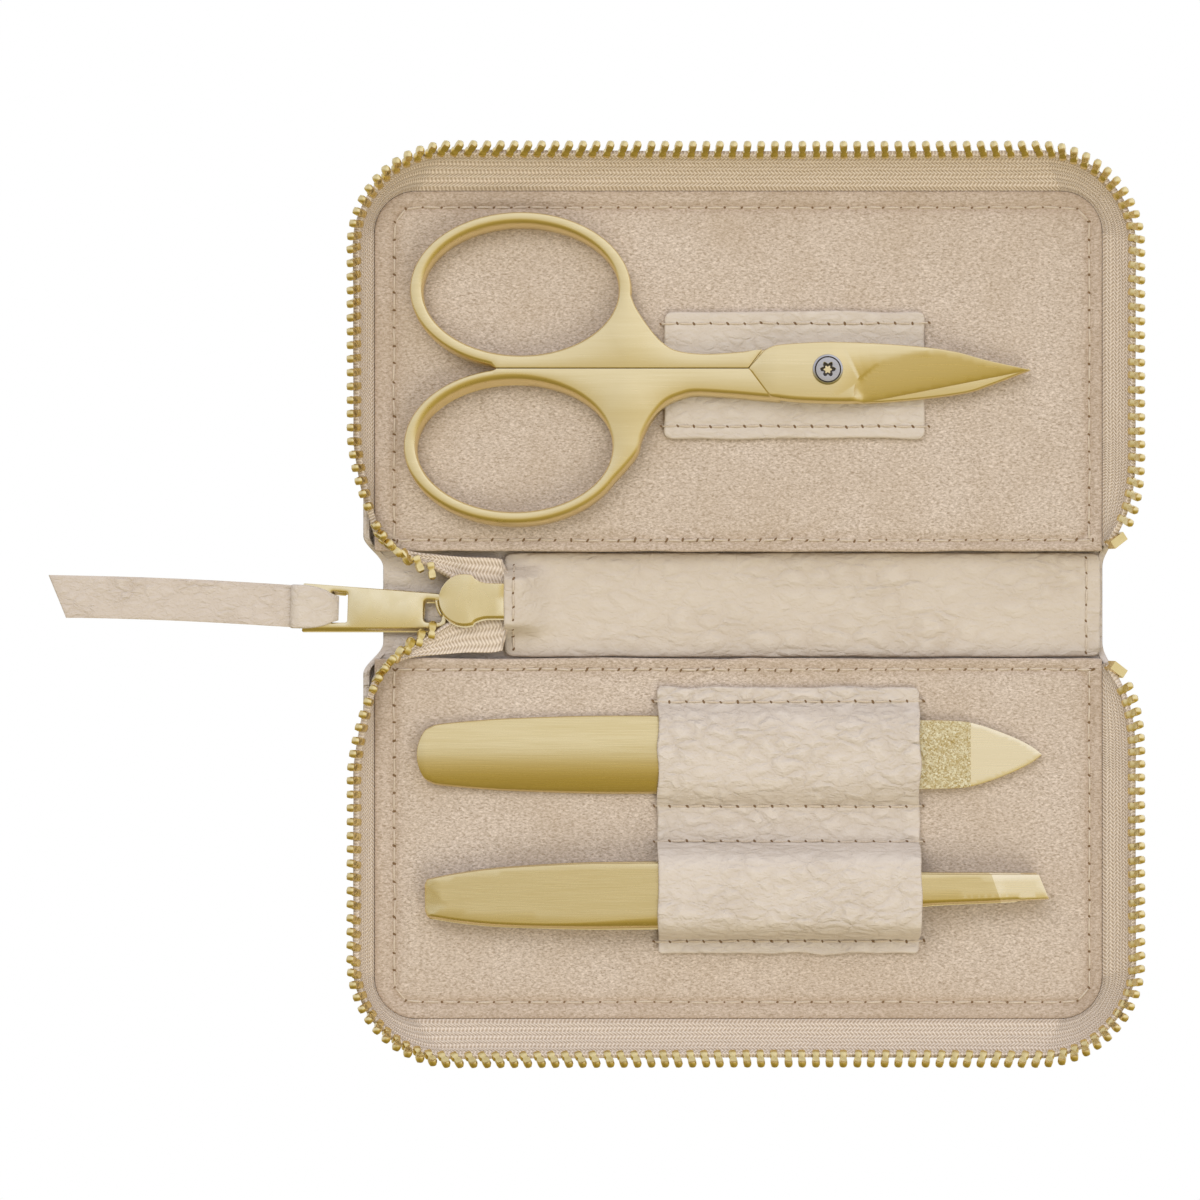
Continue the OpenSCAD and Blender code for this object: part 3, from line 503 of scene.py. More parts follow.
# The three free sides of a panel as one line in plan: up the left side, round two arcs, down the right.
# Points sit at fixed shares of each stretch, so that lines of different size match one another.
def uLine(halfWide, near, far, radius, sideShare, arcCount=10, farCount=64):
    radius = max(min(radius, halfWide * 0.9, (far - near) * 0.9), 1e-4)
    up = near + np.asarray(sideShare) * (far - radius - near)
    left = np.stack([np.full(len(up), -halfWide), up], -1)
    bow = np.linspace(0, math.pi / 2, arcCount + 1)[1:-1]
    arc = np.stack([-halfWide + radius - radius * np.cos(bow), far - radius + radius * np.sin(bow)], -1)
    run = np.linspace(-halfWide + radius, halfWide - radius, farCount)
    top = np.stack([run, np.full(farCount, far)], -1)
    flip = np.array([-1, 1])
    return np.concatenate([left, arc, top, (arc * flip)[::-1], (left * flip)[::-1]])


# Signed distance from a rounded rectangle, negative inside
def rectDistance(x, y, low, high, radius):
    middle, size = (np.array(low) + high) / 2, (np.array(high) - low) / 2 - radius
    qx, qy = np.abs(x - middle[0]) - size[0], np.abs(y - middle[1]) - size[1]
    return np.hypot(np.maximum(qx, 0), np.maximum(qy, 0)) + np.minimum(np.maximum(qx, qy), 0) - radius


# The box of a lining's seam, its low and high corner
def stitchBox():
    inset = case["stitchIn"]
    low = (-case["half"] + inset["left"], case["near"] + inset["near"])
    return low, (case["half"] - inset["right"], case["far"] - inset["far"])


# The lining reaches a little past its opening. rings are its grid's distances from the edge and from
# the middle, rows the places up its sides; shade rows are (how dark, how wide) for each cause.
lining = {
    "pastFar": 0.12, "pastSide": 0.1, "roll": 0.3, "seamDip": 0.3, "seamWide": 0.5, "heave": 0.05, "turnDown": 1.9,
    "turnWide": 0.25, "wobble": 0.12,
    "rings": [0, 0.08, 0.25, 0.55, 1.0, 1.4, 1.8, 2.1, 2.4, 2.7, 3.1, 3.6, 4.4, 6, 8, 11, 15, 20, 26, 33, 40],
    "middleRings": [7, 4.5, 3, 2, 1.4, 1, 0.7, 0.45, 0.25, 0.1, 0],
    "rows": [0, 0.05, 0.14, 0.32, 0.6, 0.95, 1.25, 1.5, 1.75, 2.05, 2.3, 2.6, 2.9, 3.2, 3.6, 4.0, 4.4, 4.9, 5.4],
    "edgeShade": (0.25, 0.7), "seamShade": (0.25, 0.7), "farShade": (0.12, 8), "sideShade": (0.1, 7),
    "underShade": 0.4,
}


# A quarter round: how far a top falls at a distance from the edge, for a radius
def quarter(edge, radius):
    return radius * (1 - np.sqrt(1 - (1 - np.clip(edge / radius, 0, 1)) ** 2))


# Suede lining. Its top falls off in a quarter round at every edge, dips along the seam, and heaves a
# little; the near edge turns down over the padding.
def makeLining(word, side):
    k = lining
    near, far, half = case["near"], case["far"] + k["pastFar"], case["half"] + k["pastSide"]
    steps = np.concatenate([k["rings"], half - np.array(k["middleRings"])])
    share = np.concatenate([np.array(k["rows"]) / 45, np.linspace(0.13, 1, 34)])
    depth, corner = far - near - 0.05, case["corner"]
    grid = np.stack([uLine(half - d, near, far - d * depth / half, max(corner - d, 2), share) for d in steps])
    x, y = grid[..., 0], grid[..., 1]
    edge = np.minimum(steps[:, None], y - near)
    seam = rectDistance(x, y, *stitchBox(), case["stitchCorner"])
    dip = k["seamDip"] * np.exp(-(seam / k["seamWide"]) ** 2)
    heave = k["heave"] * (1 + ripples(x, y, 14, 3 + side)) * smooth(edge / 3)
    top = case["floor"] - quarter(edge, k["roll"]) - dip - heave
    under = case["underLining"] - k["turnDown"] * (1 - smooth((y - near) / k["turnWide"]))
    wobble = k["wobble"] * ripples(x, y, 9, 11 + side) * np.exp(-edge / 1.2)
    ys = (y + wobble * (y < near + 3)) * side
    points, faces = shell(np.stack([x, ys, top], -1), np.stack([x, ys, under], -1), folded=-1)
    obj = putMesh(word + "_suede", points, faces)

    # Painted shade: darker at the edges, along the seam, by the far wall and by the side walls, and on the underside,
    # where shade falls
    (edgeDark, edgeWide), (seamDark, seamWide) = k["edgeShade"], k["seamShade"]
    (farDark, farWide), (sideDark, sideWide) = k["farShade"], k["sideShade"]
    shade = edgeDark * np.exp(-edge / edgeWide) + seamDark * np.exp(-(seam / seamWide) ** 2) \
        + farDark * smooth((y - far + farWide) / farWide) \
        + sideDark * smooth((np.abs(x) - half + sideWide) / sideWide)
    shade = np.clip(np.concatenate([shade.ravel(), np.full(x.size, k["underShade"])]), 0, 1)
    obj.data.attributes.new("shade", "FLOAT", "POINT").data.foreach_set("value", shade.astype(np.float32))
    finish(obj, suede)
    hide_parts(word + "_lining")
    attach(obj, word + "_half")


foam = {"near": 8.1, "insideFar": 0.3, "insideSide": 0.25, "low": 2.1, "high": 3.18, "corner": 5.8, "edge": 0.55}


# Foam padding under a lining: a thin pad with round edges
def makeFoam(word, side):
    near, far, half = foam["near"], case["far"] - foam["insideFar"], case["half"] - foam["insideSide"]
    edgeSteps = [0, 0.1, 0.3, foam["edge"]]
    steps = np.array([*edgeSteps, 2, 8, 20, half])
    share = np.concatenate([np.array(edgeSteps) / 44, np.linspace(0.06, 1, 14)])
    depth, corner = far - near - 0.05, foam["corner"]
    grid = np.stack([uLine(half - d, near, far - d * depth / half, max(corner - d, 2), share, 6, 20) for d in steps])
    x, y = grid[..., 0], grid[..., 1] * side
    edge = np.clip(np.minimum(steps[:, None], grid[..., 1] - near) / foam["edge"], 0, 1)
    puff = (foam["high"] - foam["low"]) / 2 * np.sqrt(1 - (1 - edge) ** 2)
    middle = (foam["high"] + foam["low"]) / 2
    points, faces = shell(np.stack([x, y, middle + puff], -1), np.stack([x, y, middle - puff], -1), folded=-1)
    obj = finish(putMesh(word + "_foam", points, faces), foamWhite)
    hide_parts(word + "_padding")
    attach(obj, word + "_half")


# Outer leather of one half and half of the spine: a tray section carried round the panel, from the
# middle of the floor over the turned rim to the middle of the underside.
outer = {
    "grow": 1.8, "rim": 3.2, "thick": 1.0, "spineHalf": 52.25, "spineShift": 0.75, "bendFrom": 9.4, "bendTo": 5.8,
    "foldRows": 34, "foldEnd": 11, "panelRows": 20, "columns": 24, "creaseHigh": 0.16,
}


def makeOuter(word, side):
    far, half = case["far"] + outer["grow"], case["half"] + outer["grow"]
    rim, thick = outer["rim"], outer["thick"]
    # Both sides of the tray section, as (inset from the edge, height)
    inner = [(9, thick), (5, thick), (2.4, thick), (1.4, thick), (1.08, thick + 0.12), (1.0, thick + 0.5),
             (1.0, rim - 0.4), (0.86, rim - 0.12), (0.5, rim)]
    under = [(9, 0), (5, 0), (2.4, 0.0), (1.5, 0.06), (0.75, 0.25), (0.25, 0.7), (0.03, 1.4), (0.0, rim - 0.5),
             (0.15, rim - 0.12)]

    # Points sit on a grid, dense where the sheet bends. Near a corner the square rings of the grid are
    # laid on arcs: a point's distance from the ring's corner, as a share of the radius, sets its angle.
    def surface(section):
        inset, z = np.array(section, float).T
        last, count, fold = len(inset), outer["columns"], outer["foldEnd"]
        across = np.concatenate([inset[::-1], np.linspace(inset[0], half, count)[1:]])
        fromSide = np.concatenate([across, across[-2::-1]])
        ringX = np.concatenate([np.arange(last)[::-1], np.full(2 * count - 3, 0), np.arange(last)])
        signX = np.concatenate([np.full(len(across), -1), np.full(len(across) - 1, 1)])
        rows = np.concatenate([np.linspace(0, fold, outer["foldRows"]),
                               np.linspace(fold, far - inset[0], outer["panelRows"])[1:]])
        fromFar = np.concatenate([far - rows, inset[1:]])
        ringY = np.concatenate([np.zeros(len(rows), int), np.arange(1, last)])
        dx, dy = np.meshgrid(fromSide, fromFar)
        kx, ky = np.meshgrid(ringX, ringY)
        flipX = np.meshgrid(signX, fromFar)[0]
        ring = np.maximum(kx, ky)
        d = np.where(ring > 0, inset[ring], np.minimum(dx, dy))
        radius = np.maximum(case["corner"] + outer["grow"] - d, 1e-4)
        beside = (kx > ky) | ((kx == ky) & (dx <= dy))
        share = np.clip((np.where(beside, dy, dx) - d) / radius, 0, 1)
        angle = (1 - share) * math.pi / 4
        lean, reach = radius * (1 - np.cos(angle)), radius * (1 - np.sin(angle))
        inArc = share < 1
        x = half - np.where(inArc, d + np.where(beside, lean, reach), dx)
        y = far - np.where(inArc, d + np.where(beside, reach, lean), dy)
        p = np.stack([x * flipX, y, z[ring]], -1)
        # Along the spine the rim runs out and the sheet is a little narrower
        up = smooth((p[..., 1] - 6.6) / 3.2)
        p[..., 2] = np.where(p[..., 2] > thick, thick + (p[..., 2] - thick) * up, p[..., 2])
        ease, narrow = smooth((p[..., 1] - 5.5) / 4.5), outer["spineHalf"] / half
        p[..., 0] = p[..., 0] * (narrow + ease * (1 - narrow)) + (1 - ease) * outer["spineShift"]
        return p

    # The spine's inside is creased where the inner patch leaves it bare
    topSide, underSide = surface(inner), surface(under)
    x, y = topSide[..., 0], topSide[..., 1] * side
    spine = (1 - smooth((topSide[..., 1] - 6) / 3)) * smooth((topSide[..., 2] - 0.5) / 0.4)
    bare = smooth((-34 - x) / 6)
    topSide[..., 2] += spine * bare * outer["creaseHigh"] * ripples(x * 0.5 + y * 0.5, y, 4.2, 21)
    flip = np.array([1, side, 1])
    points, faces = shell(topSide * flip, underSide * flip)
    obj = finish(putMesh(word + "_outer_leather", points, faces), leather)
    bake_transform(obj)
    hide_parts(word + "_cover", *(["spine_cover"] if side < 0 else []))


for word, side in sides.items():
    makeOuter(word, side)
    makeFoam(word, side)
    makeLining(word, side)
    dress(word + "_board", boardGrey)
    dress(word + "_top_stop", zipGold)
print("outer leather, padding and linings made")


# The zip: tape walls, teeth, stops.

# A wall stands on its foot line and ends in the tips of its teeth; the two halves differ a little in
# how far their tips reach. split is the share of the left end where its foot leaves the wall.
zipLook = {
    "tape": 0.5, "bead": 0.95, "root": 1.05, "knee": 3.7, "wallTop": 9.05, "nearY": 23.9, "edgeY": 7.9,
    "footHalf": 52.9, "footFar": 60.1, "footR": 6.4, "tipR": 15.0, "tipLeft": -56.0, "tipRight": 57.9,
    "tipFar": {1: 66.3, -1: 66.1}, "nose": (-43.1, 2.3), "sliderY": 0.7, "gapMid": 4.05, "split": 0.4, "turnY": 13.4,
    "pitch": 1.95, "tooth": 2.6, "bow": 0.3, "ripple": 0.1, "bendFrom": 13.4, "bendTo": 6.4,
}


# A quadratic curve from a to c that leans towards b
def curve3(a, b, c, t):
    t = np.asarray(t)[:, None]
    return (1 - t) ** 2 * np.array(a) + 2 * t * (1 - t) * np.array(b) + t * t * np.array(c)


# The left end of the row, t 0 where it leaves the wall and 1 at the slider's nose: a bend for the tips,
# which drop to the slider's height, and one for the foot, which turns round the lining's corner
def leftEnd(t, side):
    z = zipLook
    t = np.asarray(t, float)
    nose = (z["nose"][0], z["nose"][1] + side * z["sliderY"])
    tip = curve3((z["tipLeft"], z["nearY"]), (z["tipLeft"] + 1.8, z["edgeY"] + 1.1), nose, t)
    drop = z["wallTop"] + (z["gapMid"] - z["wallTop"]) * smooth((t - 0.25) / 0.75)
    u = np.clip((t - z["split"]) / (1 - z["split"]), 0, 1)
    foot = curve3((-z["footHalf"], z["turnY"]), (-z["footHalf"], z["edgeY"] - 0.6), (-43.3, z["edgeY"] - 0.7), u)
    down = z["nearY"] + (z["turnY"] - z["nearY"]) * t / z["split"]
    foot[:, 1] = np.where(t < z["split"], down, foot[:, 1])
    lift = z["knee"] + 1.7 * np.sin(math.pi * u)
    return np.column_stack([foot, lift]), np.column_stack([tip, drop])


# The whole wall of one half: left side, two corner arcs, far side and right side, as feet and tips
def wallLines(side):
    z = zipLook
    foot, tip = leftEnd(np.linspace(z["split"], 0, 14), side)

    # The two arcs at the far corners, between the given x of either side, and their height
    def arcs(left, right, far, radius, height):
        rounds = []
        for x, ends in ((left + radius, (180, 90)), (right - radius, (90, 0))):
            a = np.radians(np.linspace(*ends, 25))
            y = far - radius + radius * np.sin(a)
            rounds.append(np.stack([x + radius * np.cos(a), y, np.full(25, height)], -1))
        return rounds
    feet = arcs(-z["footHalf"], z["footHalf"], z["footFar"], z["footR"], z["knee"])
    tips = arcs(z["tipLeft"], z["tipRight"], z["tipFar"][side], z["tipR"], z["wallTop"])

    # The right end's tips come down and in towards the spine
    t = np.linspace(0, 1, 14)
    lastY = z["edgeY"] + 0.7
    bow = ((z["tipRight"], z["nearY"]), (z["tipRight"] + 0.5, z["edgeY"] + 3), (case["half"] + 1.4, lastY))
    rightTip = curve3(*bow, t)
    rightTip = np.column_stack([rightTip, z["wallTop"] - 2.2 * smooth(t)])
    down = z["nearY"] + (lastY - z["nearY"]) * t
    rightFoot = np.stack([np.full(14, z["footHalf"]), down, np.full(14, z["knee"])], -1)
    return np.concatenate([foot, *feet, rightFoot]), np.concatenate([tip, *tips, rightTip])


# The end beside the slider: from a tail under the inner patch, past the slider, to the wall
def endLines(side):
    z = zipLook
    mid, low = side * z["sliderY"], z["gapMid"]
    feet = [(-31.9, mid + 3.6, low - 0.7), (-33.5, mid + 3.6, low - 0.15), (-33.9, 6.5, z["knee"]),
            (-39.6, 6.9, z["knee"])]
    tips = [(-31.9, mid - 0.9, low - 0.7), (-33.5, mid - 0.9, low - 0.15), (-33.9, mid - 0.9, low),
            (-39.6, mid + 0.3, low)]
    foot, tip = leftEnd(np.linspace(1, z["split"], 7), side)
    return curveThrough(np.concatenate([feet, foot]), 6), curveThrough(np.concatenate([tips, tip]), 6)


# The feet and the tips at the given distances along the tips
def pairAt(feet, tips, where):
    run = lengths(tips)
    return [np.stack([np.interp(where, run, line[:, k]) for k in range(3)], -1) for line in (feet, tips)]


# Tape: across it the line runs up to the bead under the teeth, with a slight bow and a few ripples;
# half its thickness lies on either side, more at the bead. A rooted tape starts lower, in its slot.
def makeTape(name, feet, tips, side, rooted, replaced):
    z = zipLook
    long = lengths(tips)[-1]
    along = np.linspace(0, long, max(int(long / 0.9), 2) + 1)
    feet, tips = pairAt(feet, tips, along)
    up = unit(tips - feet)
    bead = tips - up * (z["tooth"] - 0.75)
    across = np.array([0, 0.08, 0.2, 0.34, 0.48, 0.62, 0.76, 0.88, 0.95, 1.0])[None, :, None]
    grid = feet[:, None] + (bead - feet)[:, None] * across
    out = unit(np.cross(np.gradient(tips, axis=0), up))
    waves = z["ripple"] * ripples(along[:, None, None], across * 8, 7, 5) * across * (1 - across) * 4
    grid = grid - out[:, None] * (z["bow"] * np.sin(math.pi * across) + waves)
    if rooted:
        root = grid[:, :1].copy()
        fade = smooth(np.minimum(along, 3) / 3)[:, None]
        root[..., 2] = grid[:, 0, 2:3] - 0.05 - (z["knee"] - z["root"] - 0.05) * fade
        grid = np.concatenate([root, (root + grid[:, :1]) / 2, grid], 1)
    normal = unit(np.cross(np.gradient(grid, axis=0), np.gradient(grid, axis=1)))
    thick = np.full(grid.shape[1], z["tape"] / 2)
    thick[-3:] = z["tape"] / 2, z["bead"] / 2, z["bead"] / 2 * 0.7
    front, back = grid + normal * thick[None, :, None], grid - normal * thick[None, :, None]
    flip = np.array([1, side, 1])
    points, faces = shell(front * flip, back * flip)
    wide = np.linalg.norm(np.diff(grid, axis=1), axis=-1).mean(0)
    v = np.concatenate([[0], np.cumsum(wide)])
    uv = np.stack(np.broadcast_arrays(along[:, None], v[None, :]), -1).reshape(-1, 2)
    obj = putMesh(name, points, faces, uv=np.concatenate([uv, uv]))
    finish(obj, twill, 60)
    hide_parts(replaced)
    return obj


# One tooth, its tip at the origin and up along Z: eight points round it at each height (height, half
# width along the row, half thickness), with a waist under the head and a dimple in each face of it
def toothShape():
    levels = [(-2.6, 0.42, 0.5), (-2.42, 0.58, 0.64), (-1.8, 0.58, 0.64), (-1.5, 0.4, 0.5), (-1.25, 0.54, 0.6),
              (-0.8, 0.6, 0.65), (-0.34, 0.56, 0.6), (-0.04, 0.3, 0.34)]
    turn = np.arange(8) * math.tau / 8
    round8 = np.stack([np.cos(turn), np.sin(turn)], -1)
    round8 = np.sign(round8) * np.abs(round8) ** 0.55
    rings = np.stack([np.column_stack([round8 * (w, t), np.full(8, h)]) for h, w, t in levels])
    rings[5, [2, 6], 1] *= 0.5
    return tube(rings)


# Teeth at an even pitch between two distances along a row
def makeTeeth(name, feet, tips, side, skip, stop, replaced):
    where = np.arange(skip, lengths(tips)[-1] - stop, zipLook["pitch"])
    (foot, tip), ahead = pairAt(feet, tips, where), pairAt(feet, tips, where + 0.4)[1]
    up = unit(tip - foot)
    acrossRow = unit(np.cross(up, ahead - tip))
    along = np.cross(acrossRow, up)
    tilt = random.normal(0, 0.03, (len(where), 1))
    flip = np.array([1, side, 1])
    turns = np.stack([unit(along + up * tilt), acrossRow, unit(up - along * tilt)], 1) * flip
    points, faces = copies(*toothShape(), tip * flip, turns)
    obj = finish(putMesh(name, points, faces), zipGold, 50)
    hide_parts(replaced)
    return obj


for word, side in sides.items():
    feet, tips = wallLines(side)
    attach(makeTape(word + "_zip_tape", feet, tips, side, True, word + "_tape"), word + "_half")
    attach(makeTeeth(word + "_zip_teeth", feet, tips, side, 0.8, 3.6, word + "_teeth"), word + "_half")
    feet, tips = endLines(side)
    tapeEnd = makeTape(word + "_zip_tape_end", feet, tips, side, False, word + "_tape_end")
    feet, tips = leftEnd(np.linspace(1, zipLook["split"], 40), side)
    teethEnd = makeTeeth(word + "_zip_teeth_end", feet, tips, side, 1.2, 0.6, word + "_teeth_end")
    for piece in (tapeEnd, teethEnd):
        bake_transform(piece)
print("zip tape and teeth made")


# Leather sheets: inner patch, strap under the scissors, loop over the tools.

# Even steps from a to b, with a few close ones at each end for a rounded edge
def edged(a, b, step):
    close = np.array([0, 0.05, 0.14, 0.28, 0.5])
    even = np.linspace(a + 0.8, b - 0.8, max(int((b - a) / step), 3))
    return np.concatenate([a + close, even, b - close[::-1]])


# A cut sheet over a grid in plan: base gives the height of its underside, the cut edges are rounded,
# and the four corners are drawn in by a radius (a square's corner mapped to a quarter disc)
def cutSheet(name, xs, ys, base, thick, material, corner, wave, seed):
    x, y = np.meshgrid(xs, ys, indexing="ij")
    x0, x1, y0, y1 = xs[0], xs[-1], ys[0], ys[-1]
    edge = np.minimum(np.minimum(x - x0, x1 - x), np.minimum(y - y0, y1 - y))
    roll = quarter(edge, thick * 0.42)
    u = np.clip((np.abs(x - (x0 + x1) / 2) - (x1 - x0) / 2 + corner) / corner, 0, 1)
    v = np.clip((np.abs(y - (y0 + y1) / 2) - (y1 - y0) / 2 + corner) / corner, 0, 1)
    inX = u * (1 - np.sqrt(1 - v * v / 2)) * corner * np.sign(x - (x0 + x1) / 2)
    inY = v * (1 - np.sqrt(1 - u * u / 2)) * corner * np.sign(y - (y0 + y1) / 2)
    fray = np.exp(-edge / 1.5) * wave
    px = x - inX + fray * ripples(x, y, 8, seed)
    py = y - inY + fray * ripples(x, y, 8, seed + 1)
    low = base(x, y)
    points, faces = shell(np.stack([px, py, low + thick - roll], -1), np.stack([px, py, low + roll], -1))
    return finish(putMesh(name, points, faces), material)


# A crease from one point to the next: a narrow dip across the line, wandering a little, that fades out
# at both ends
def crease(x, y, start, end, deep, wide):
    along = np.subtract(end, start)
    size = np.hypot(*along)
    t = ((x - start[0]) * along[0] + (y - start[1]) * along[1]) / size ** 2
    off = ((y - start[1]) * along[0] - (x - start[0]) * along[1]) / size
    off = off + 0.35 * ripples(x, y, 5, int(10 * abs(start[0]) + 3))
    fade = smooth(t / 0.15) * smooth((1 - t) / 0.15)
    return -deep * fade * np.exp(-(off / wide) ** 2)


patch = {
    "left": -33.9, "right": 52.6, "halfWide": 7.55, "under": 1.02, "thick": 0.95, "lift": 3.3, "rise": (1.2, 7.0),
    "creases": [((-31, -6.2), (-8, -1.5), 0.22, 0.35), ((-14, -4.6), (7, 2.6), 0.16, 0.35),
                ((-26, 4.6), (6, 6.2), 0.1, 0.4), ((-2, -5.6), (20, 1.6), 0.16, 0.3), ((18, -3.2), (51, -0.9), 0.18, 0.3),
                ((-6, 0.4), (16, 5.4), 0.12, 0.3), ((24, -5.4), (50, -2.2), 0.15, 0.35),
                ((12, 0.5), (38, 4.4), 0.12, 0.35), ((36, 3.2), (51, 3.6), 0.08, 0.3)],
    "leftSeam": ((-32.5, -6.4), (-32.5, 5.9)), "rightSeam": ((50.5, -6.9), (50.5, 6.9)),
}


# How high the patch stands over the spine: a hump at its left end
def patchLift(x, y):
    rise = 1 - smooth((x - patch["left"] - patch["rise"][0]) / patch["rise"][1])
    return patch["lift"] * rise * (1 - smooth((np.abs(y - 0.5) - 3.1) / 2.4))


# Inner patch of the spine: its left end stands over the tape ends, and long creases run along it
def makePatch():
    def base(x, y):
        z = patch["under"] + patchLift(x, y)
        for start, end, deep, wide in patch["creases"]:
            z = z + crease(x, y, start, end, deep, wide) * smooth((x - patch["left"] - 7) / 4)
        soft = 0.07 * ripples(x * 0.55, y, 2.6, 31) * smooth((x - patch["left"] - 2) / 6)
        return np.maximum(z + soft, patch["under"] - 0.015)
    xs, ys = edged(patch["left"], patch["right"], 0.32), edged(-patch["halfWide"], patch["halfWide"], 0.32)
    obj = cutSheet("spine_inner_leather", xs, ys, base, patch["thick"], patchLeather, 1.3, 0.06, 4)
    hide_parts("spine_patch")
    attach(obj, "spine")


# How deep a seam draws a sheet in, and how wide
seamDip = {"rest": (0.12, 0.4), "loop": (0.1, 0.35)}

rest = {"x": (-10.75, 26.9), "y": (24.0, 42.35), "floor": 4.0, "thick": 0.78, "seams": (25.75, 40.65)}


# The dip along rows of stitches that run along X
def drawnIn(y, seams, deep, wide):
    gap = np.min([np.abs(y - seam) for seam in seams], axis=0)
    return deep * np.exp(-(gap / wide) ** 2)


# Strap under the scissors, sewn down along both long edges
def makeRest():
    def base(x, y):
        return rest["floor"] - drawnIn(y, rest["seams"], *seamDip["rest"])
    xs, ys = edged(*rest["x"], 0.7), edged(*rest["y"], 0.35)
    obj = cutSheet("scissors_strap", xs, ys, base, rest["thick"], smoothLeather, 1.2, 0.14, 8)
    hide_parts("scissors_rest")
    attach(obj, "upper_half")


loop = {
    "x": (-11.7, 26.1), "y": (-50.3, -11.9), "floor": 4.0, "thick": 0.8,
    "file": (-21.6, 7.2, 2.35, 4), "tweezers": (-41.3, 6.9, 5.25, 6), "seams": (-13.95, -29.05, -34.15, -48.55),
}


# Height of the loop over the lining: a flat-topped hump over each tool, (1 - (distance / half width)
# to a power) times its height
def loopLift(y):
    total = 0 * y
    for middle, half, high, power in (loop["file"], loop["tweezers"]):
        total = total + high * (1 - np.minimum(1, np.abs(y - middle) / half) ** power)
    return total


# Loop over file and tweezers: one sheet, sewn down in four rows
def makeLoop():
    def base(x, y):
        lift = loopLift(y)
        free = smooth(lift / 1.5)
        puff = free * 0.1 * (1 + ripples(x, y, 12, 17))
        return loop["floor"] + lift + puff - drawnIn(y, loop["seams"], *seamDip["loop"])
    xs, ys = edged(*loop["x"], 0.6), edged(*loop["y"], 0.24)
    obj = cutSheet("tool_loop_leather", xs, ys, base, loop["thick"], leather, 0.9, 0.16, 12)
    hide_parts("tool_loop")
    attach(obj, "lower_half")


makePatch()
makeRest()
makeLoop()
print("leather sheets made")


# The pull's strap.

pull = {"bar": (-42.5, -0.9, 2.225), "turn": -1.8, "barThick": 0.85, "crease": -22.1, "out": 1.245,
        "tailTurn": -2.4, "tailLong": 35.6, "tailWide": 6.4, "slant": 2.9, "slantLong": 12, "tailThick": 1.4,
        "bow": 0.25, "topFrom": 1.0, "wrinkle": 0.16, "loopThick": 0.62}


# Points turned about Z and moved to a place
def turned(points, degrees, place):
    a = math.radians(degrees)
    x, y, z = np.moveaxis(np.asarray(points, float), -1, 0)
    across, along = x * math.cos(a) - y * math.sin(a), x * math.sin(a) + y * math.cos(a)
    return np.stack([across + place[0], along + place[1], z + place[2]], -1)


# From the link's own axes, origin on its hinge bar, to the frame, and from the tail's axes
def fromLink(points):
    return turned(points, pull["turn"], pull["bar"])


def fromTail(points):
    return fromLink(turned(points, pull["tailTurn"] - pull["turn"], (pull["crease"], 0, 0)))


# Tail: a section of two glued layers, with round edges and a nick between the layers, carried from the
# slanted cut to a little past the crease
def makeStrapTail():
    half, thick = pull["tailWide"] / 2, pull["tailThick"]
    side = np.array([(0.0, 0.0), (-0.14, 0.08), (-0.2, 0.3), (-0.2, 0.55), (-0.28, 0.7), (-0.2, 0.85), (-0.2, 1.1),
                     (-0.14, 1.32), (0.0, thick)])
    flat = np.linspace(-half + 0.3, half - 0.3, 15)
    right = np.column_stack([half + side[:, 0], side[:, 1]])
    left = np.column_stack([-half - side[::-1, 0], side[::-1, 1]])
    low = np.column_stack([flat, np.zeros(15)])
    ring = np.concatenate([low, right[1:-1], np.column_stack([flat[::-1], np.full(15, thick)]), left[1:-1]])
    along = np.concatenate([[0, 0.06, 0.18, 0.4], np.linspace(0.8, pull["tailLong"] + 0.6, 84)])
    x = -pull["tailLong"] + along
    # The cut end is pressed together, narrower and thinner over its first few rows
    narrow, thin = np.ones(len(x)), np.ones(len(x))
    narrow[:2], thin[:3] = (0.985, 0.995), (0.55, 0.8, 0.95)
    shape = np.zeros((len(x), len(ring), 3))
    skew = np.clip(1 - along / pull["slantLong"], 0, 1)[:, None] ** 2 * (half - ring[None, :, 0]) / (2 * half)
    shape[..., 0] = x[:, None] + skew * pull["slant"]
    shape[..., 1] = ring[None, :, 0] * narrow[:, None] + pull["bow"] * np.sin(math.pi * along / along[-1])[:, None]
    shape[..., 2] = (ring[None, :, 1] - thick / 2) * thin[:, None] + thick / 2 - pull["out"]
    # The top heaves a little, and two wrinkles cross it by the crease
    onTop = ring[None, :, 1] > pull["topFrom"]
    shape[..., 2] += 0.05 * ripples(shape[..., 0], shape[..., 1], 4, 6) * onTop
    near = np.exp(-((shape[..., 0] + 1.1) / 0.45) ** 2)
    away = 0.7 * np.exp(-((shape[..., 0] + 2.3 - 0.2 * shape[..., 1]) / 0.35) ** 2)
    shape[..., 2] -= pull["wrinkle"] * (near + away) * onTop
    obj = finish(putMesh("strap_tail_leather", *tube(fromTail(shape))), strapLeather, 50)
    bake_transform(obj)
    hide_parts("strap_tail")


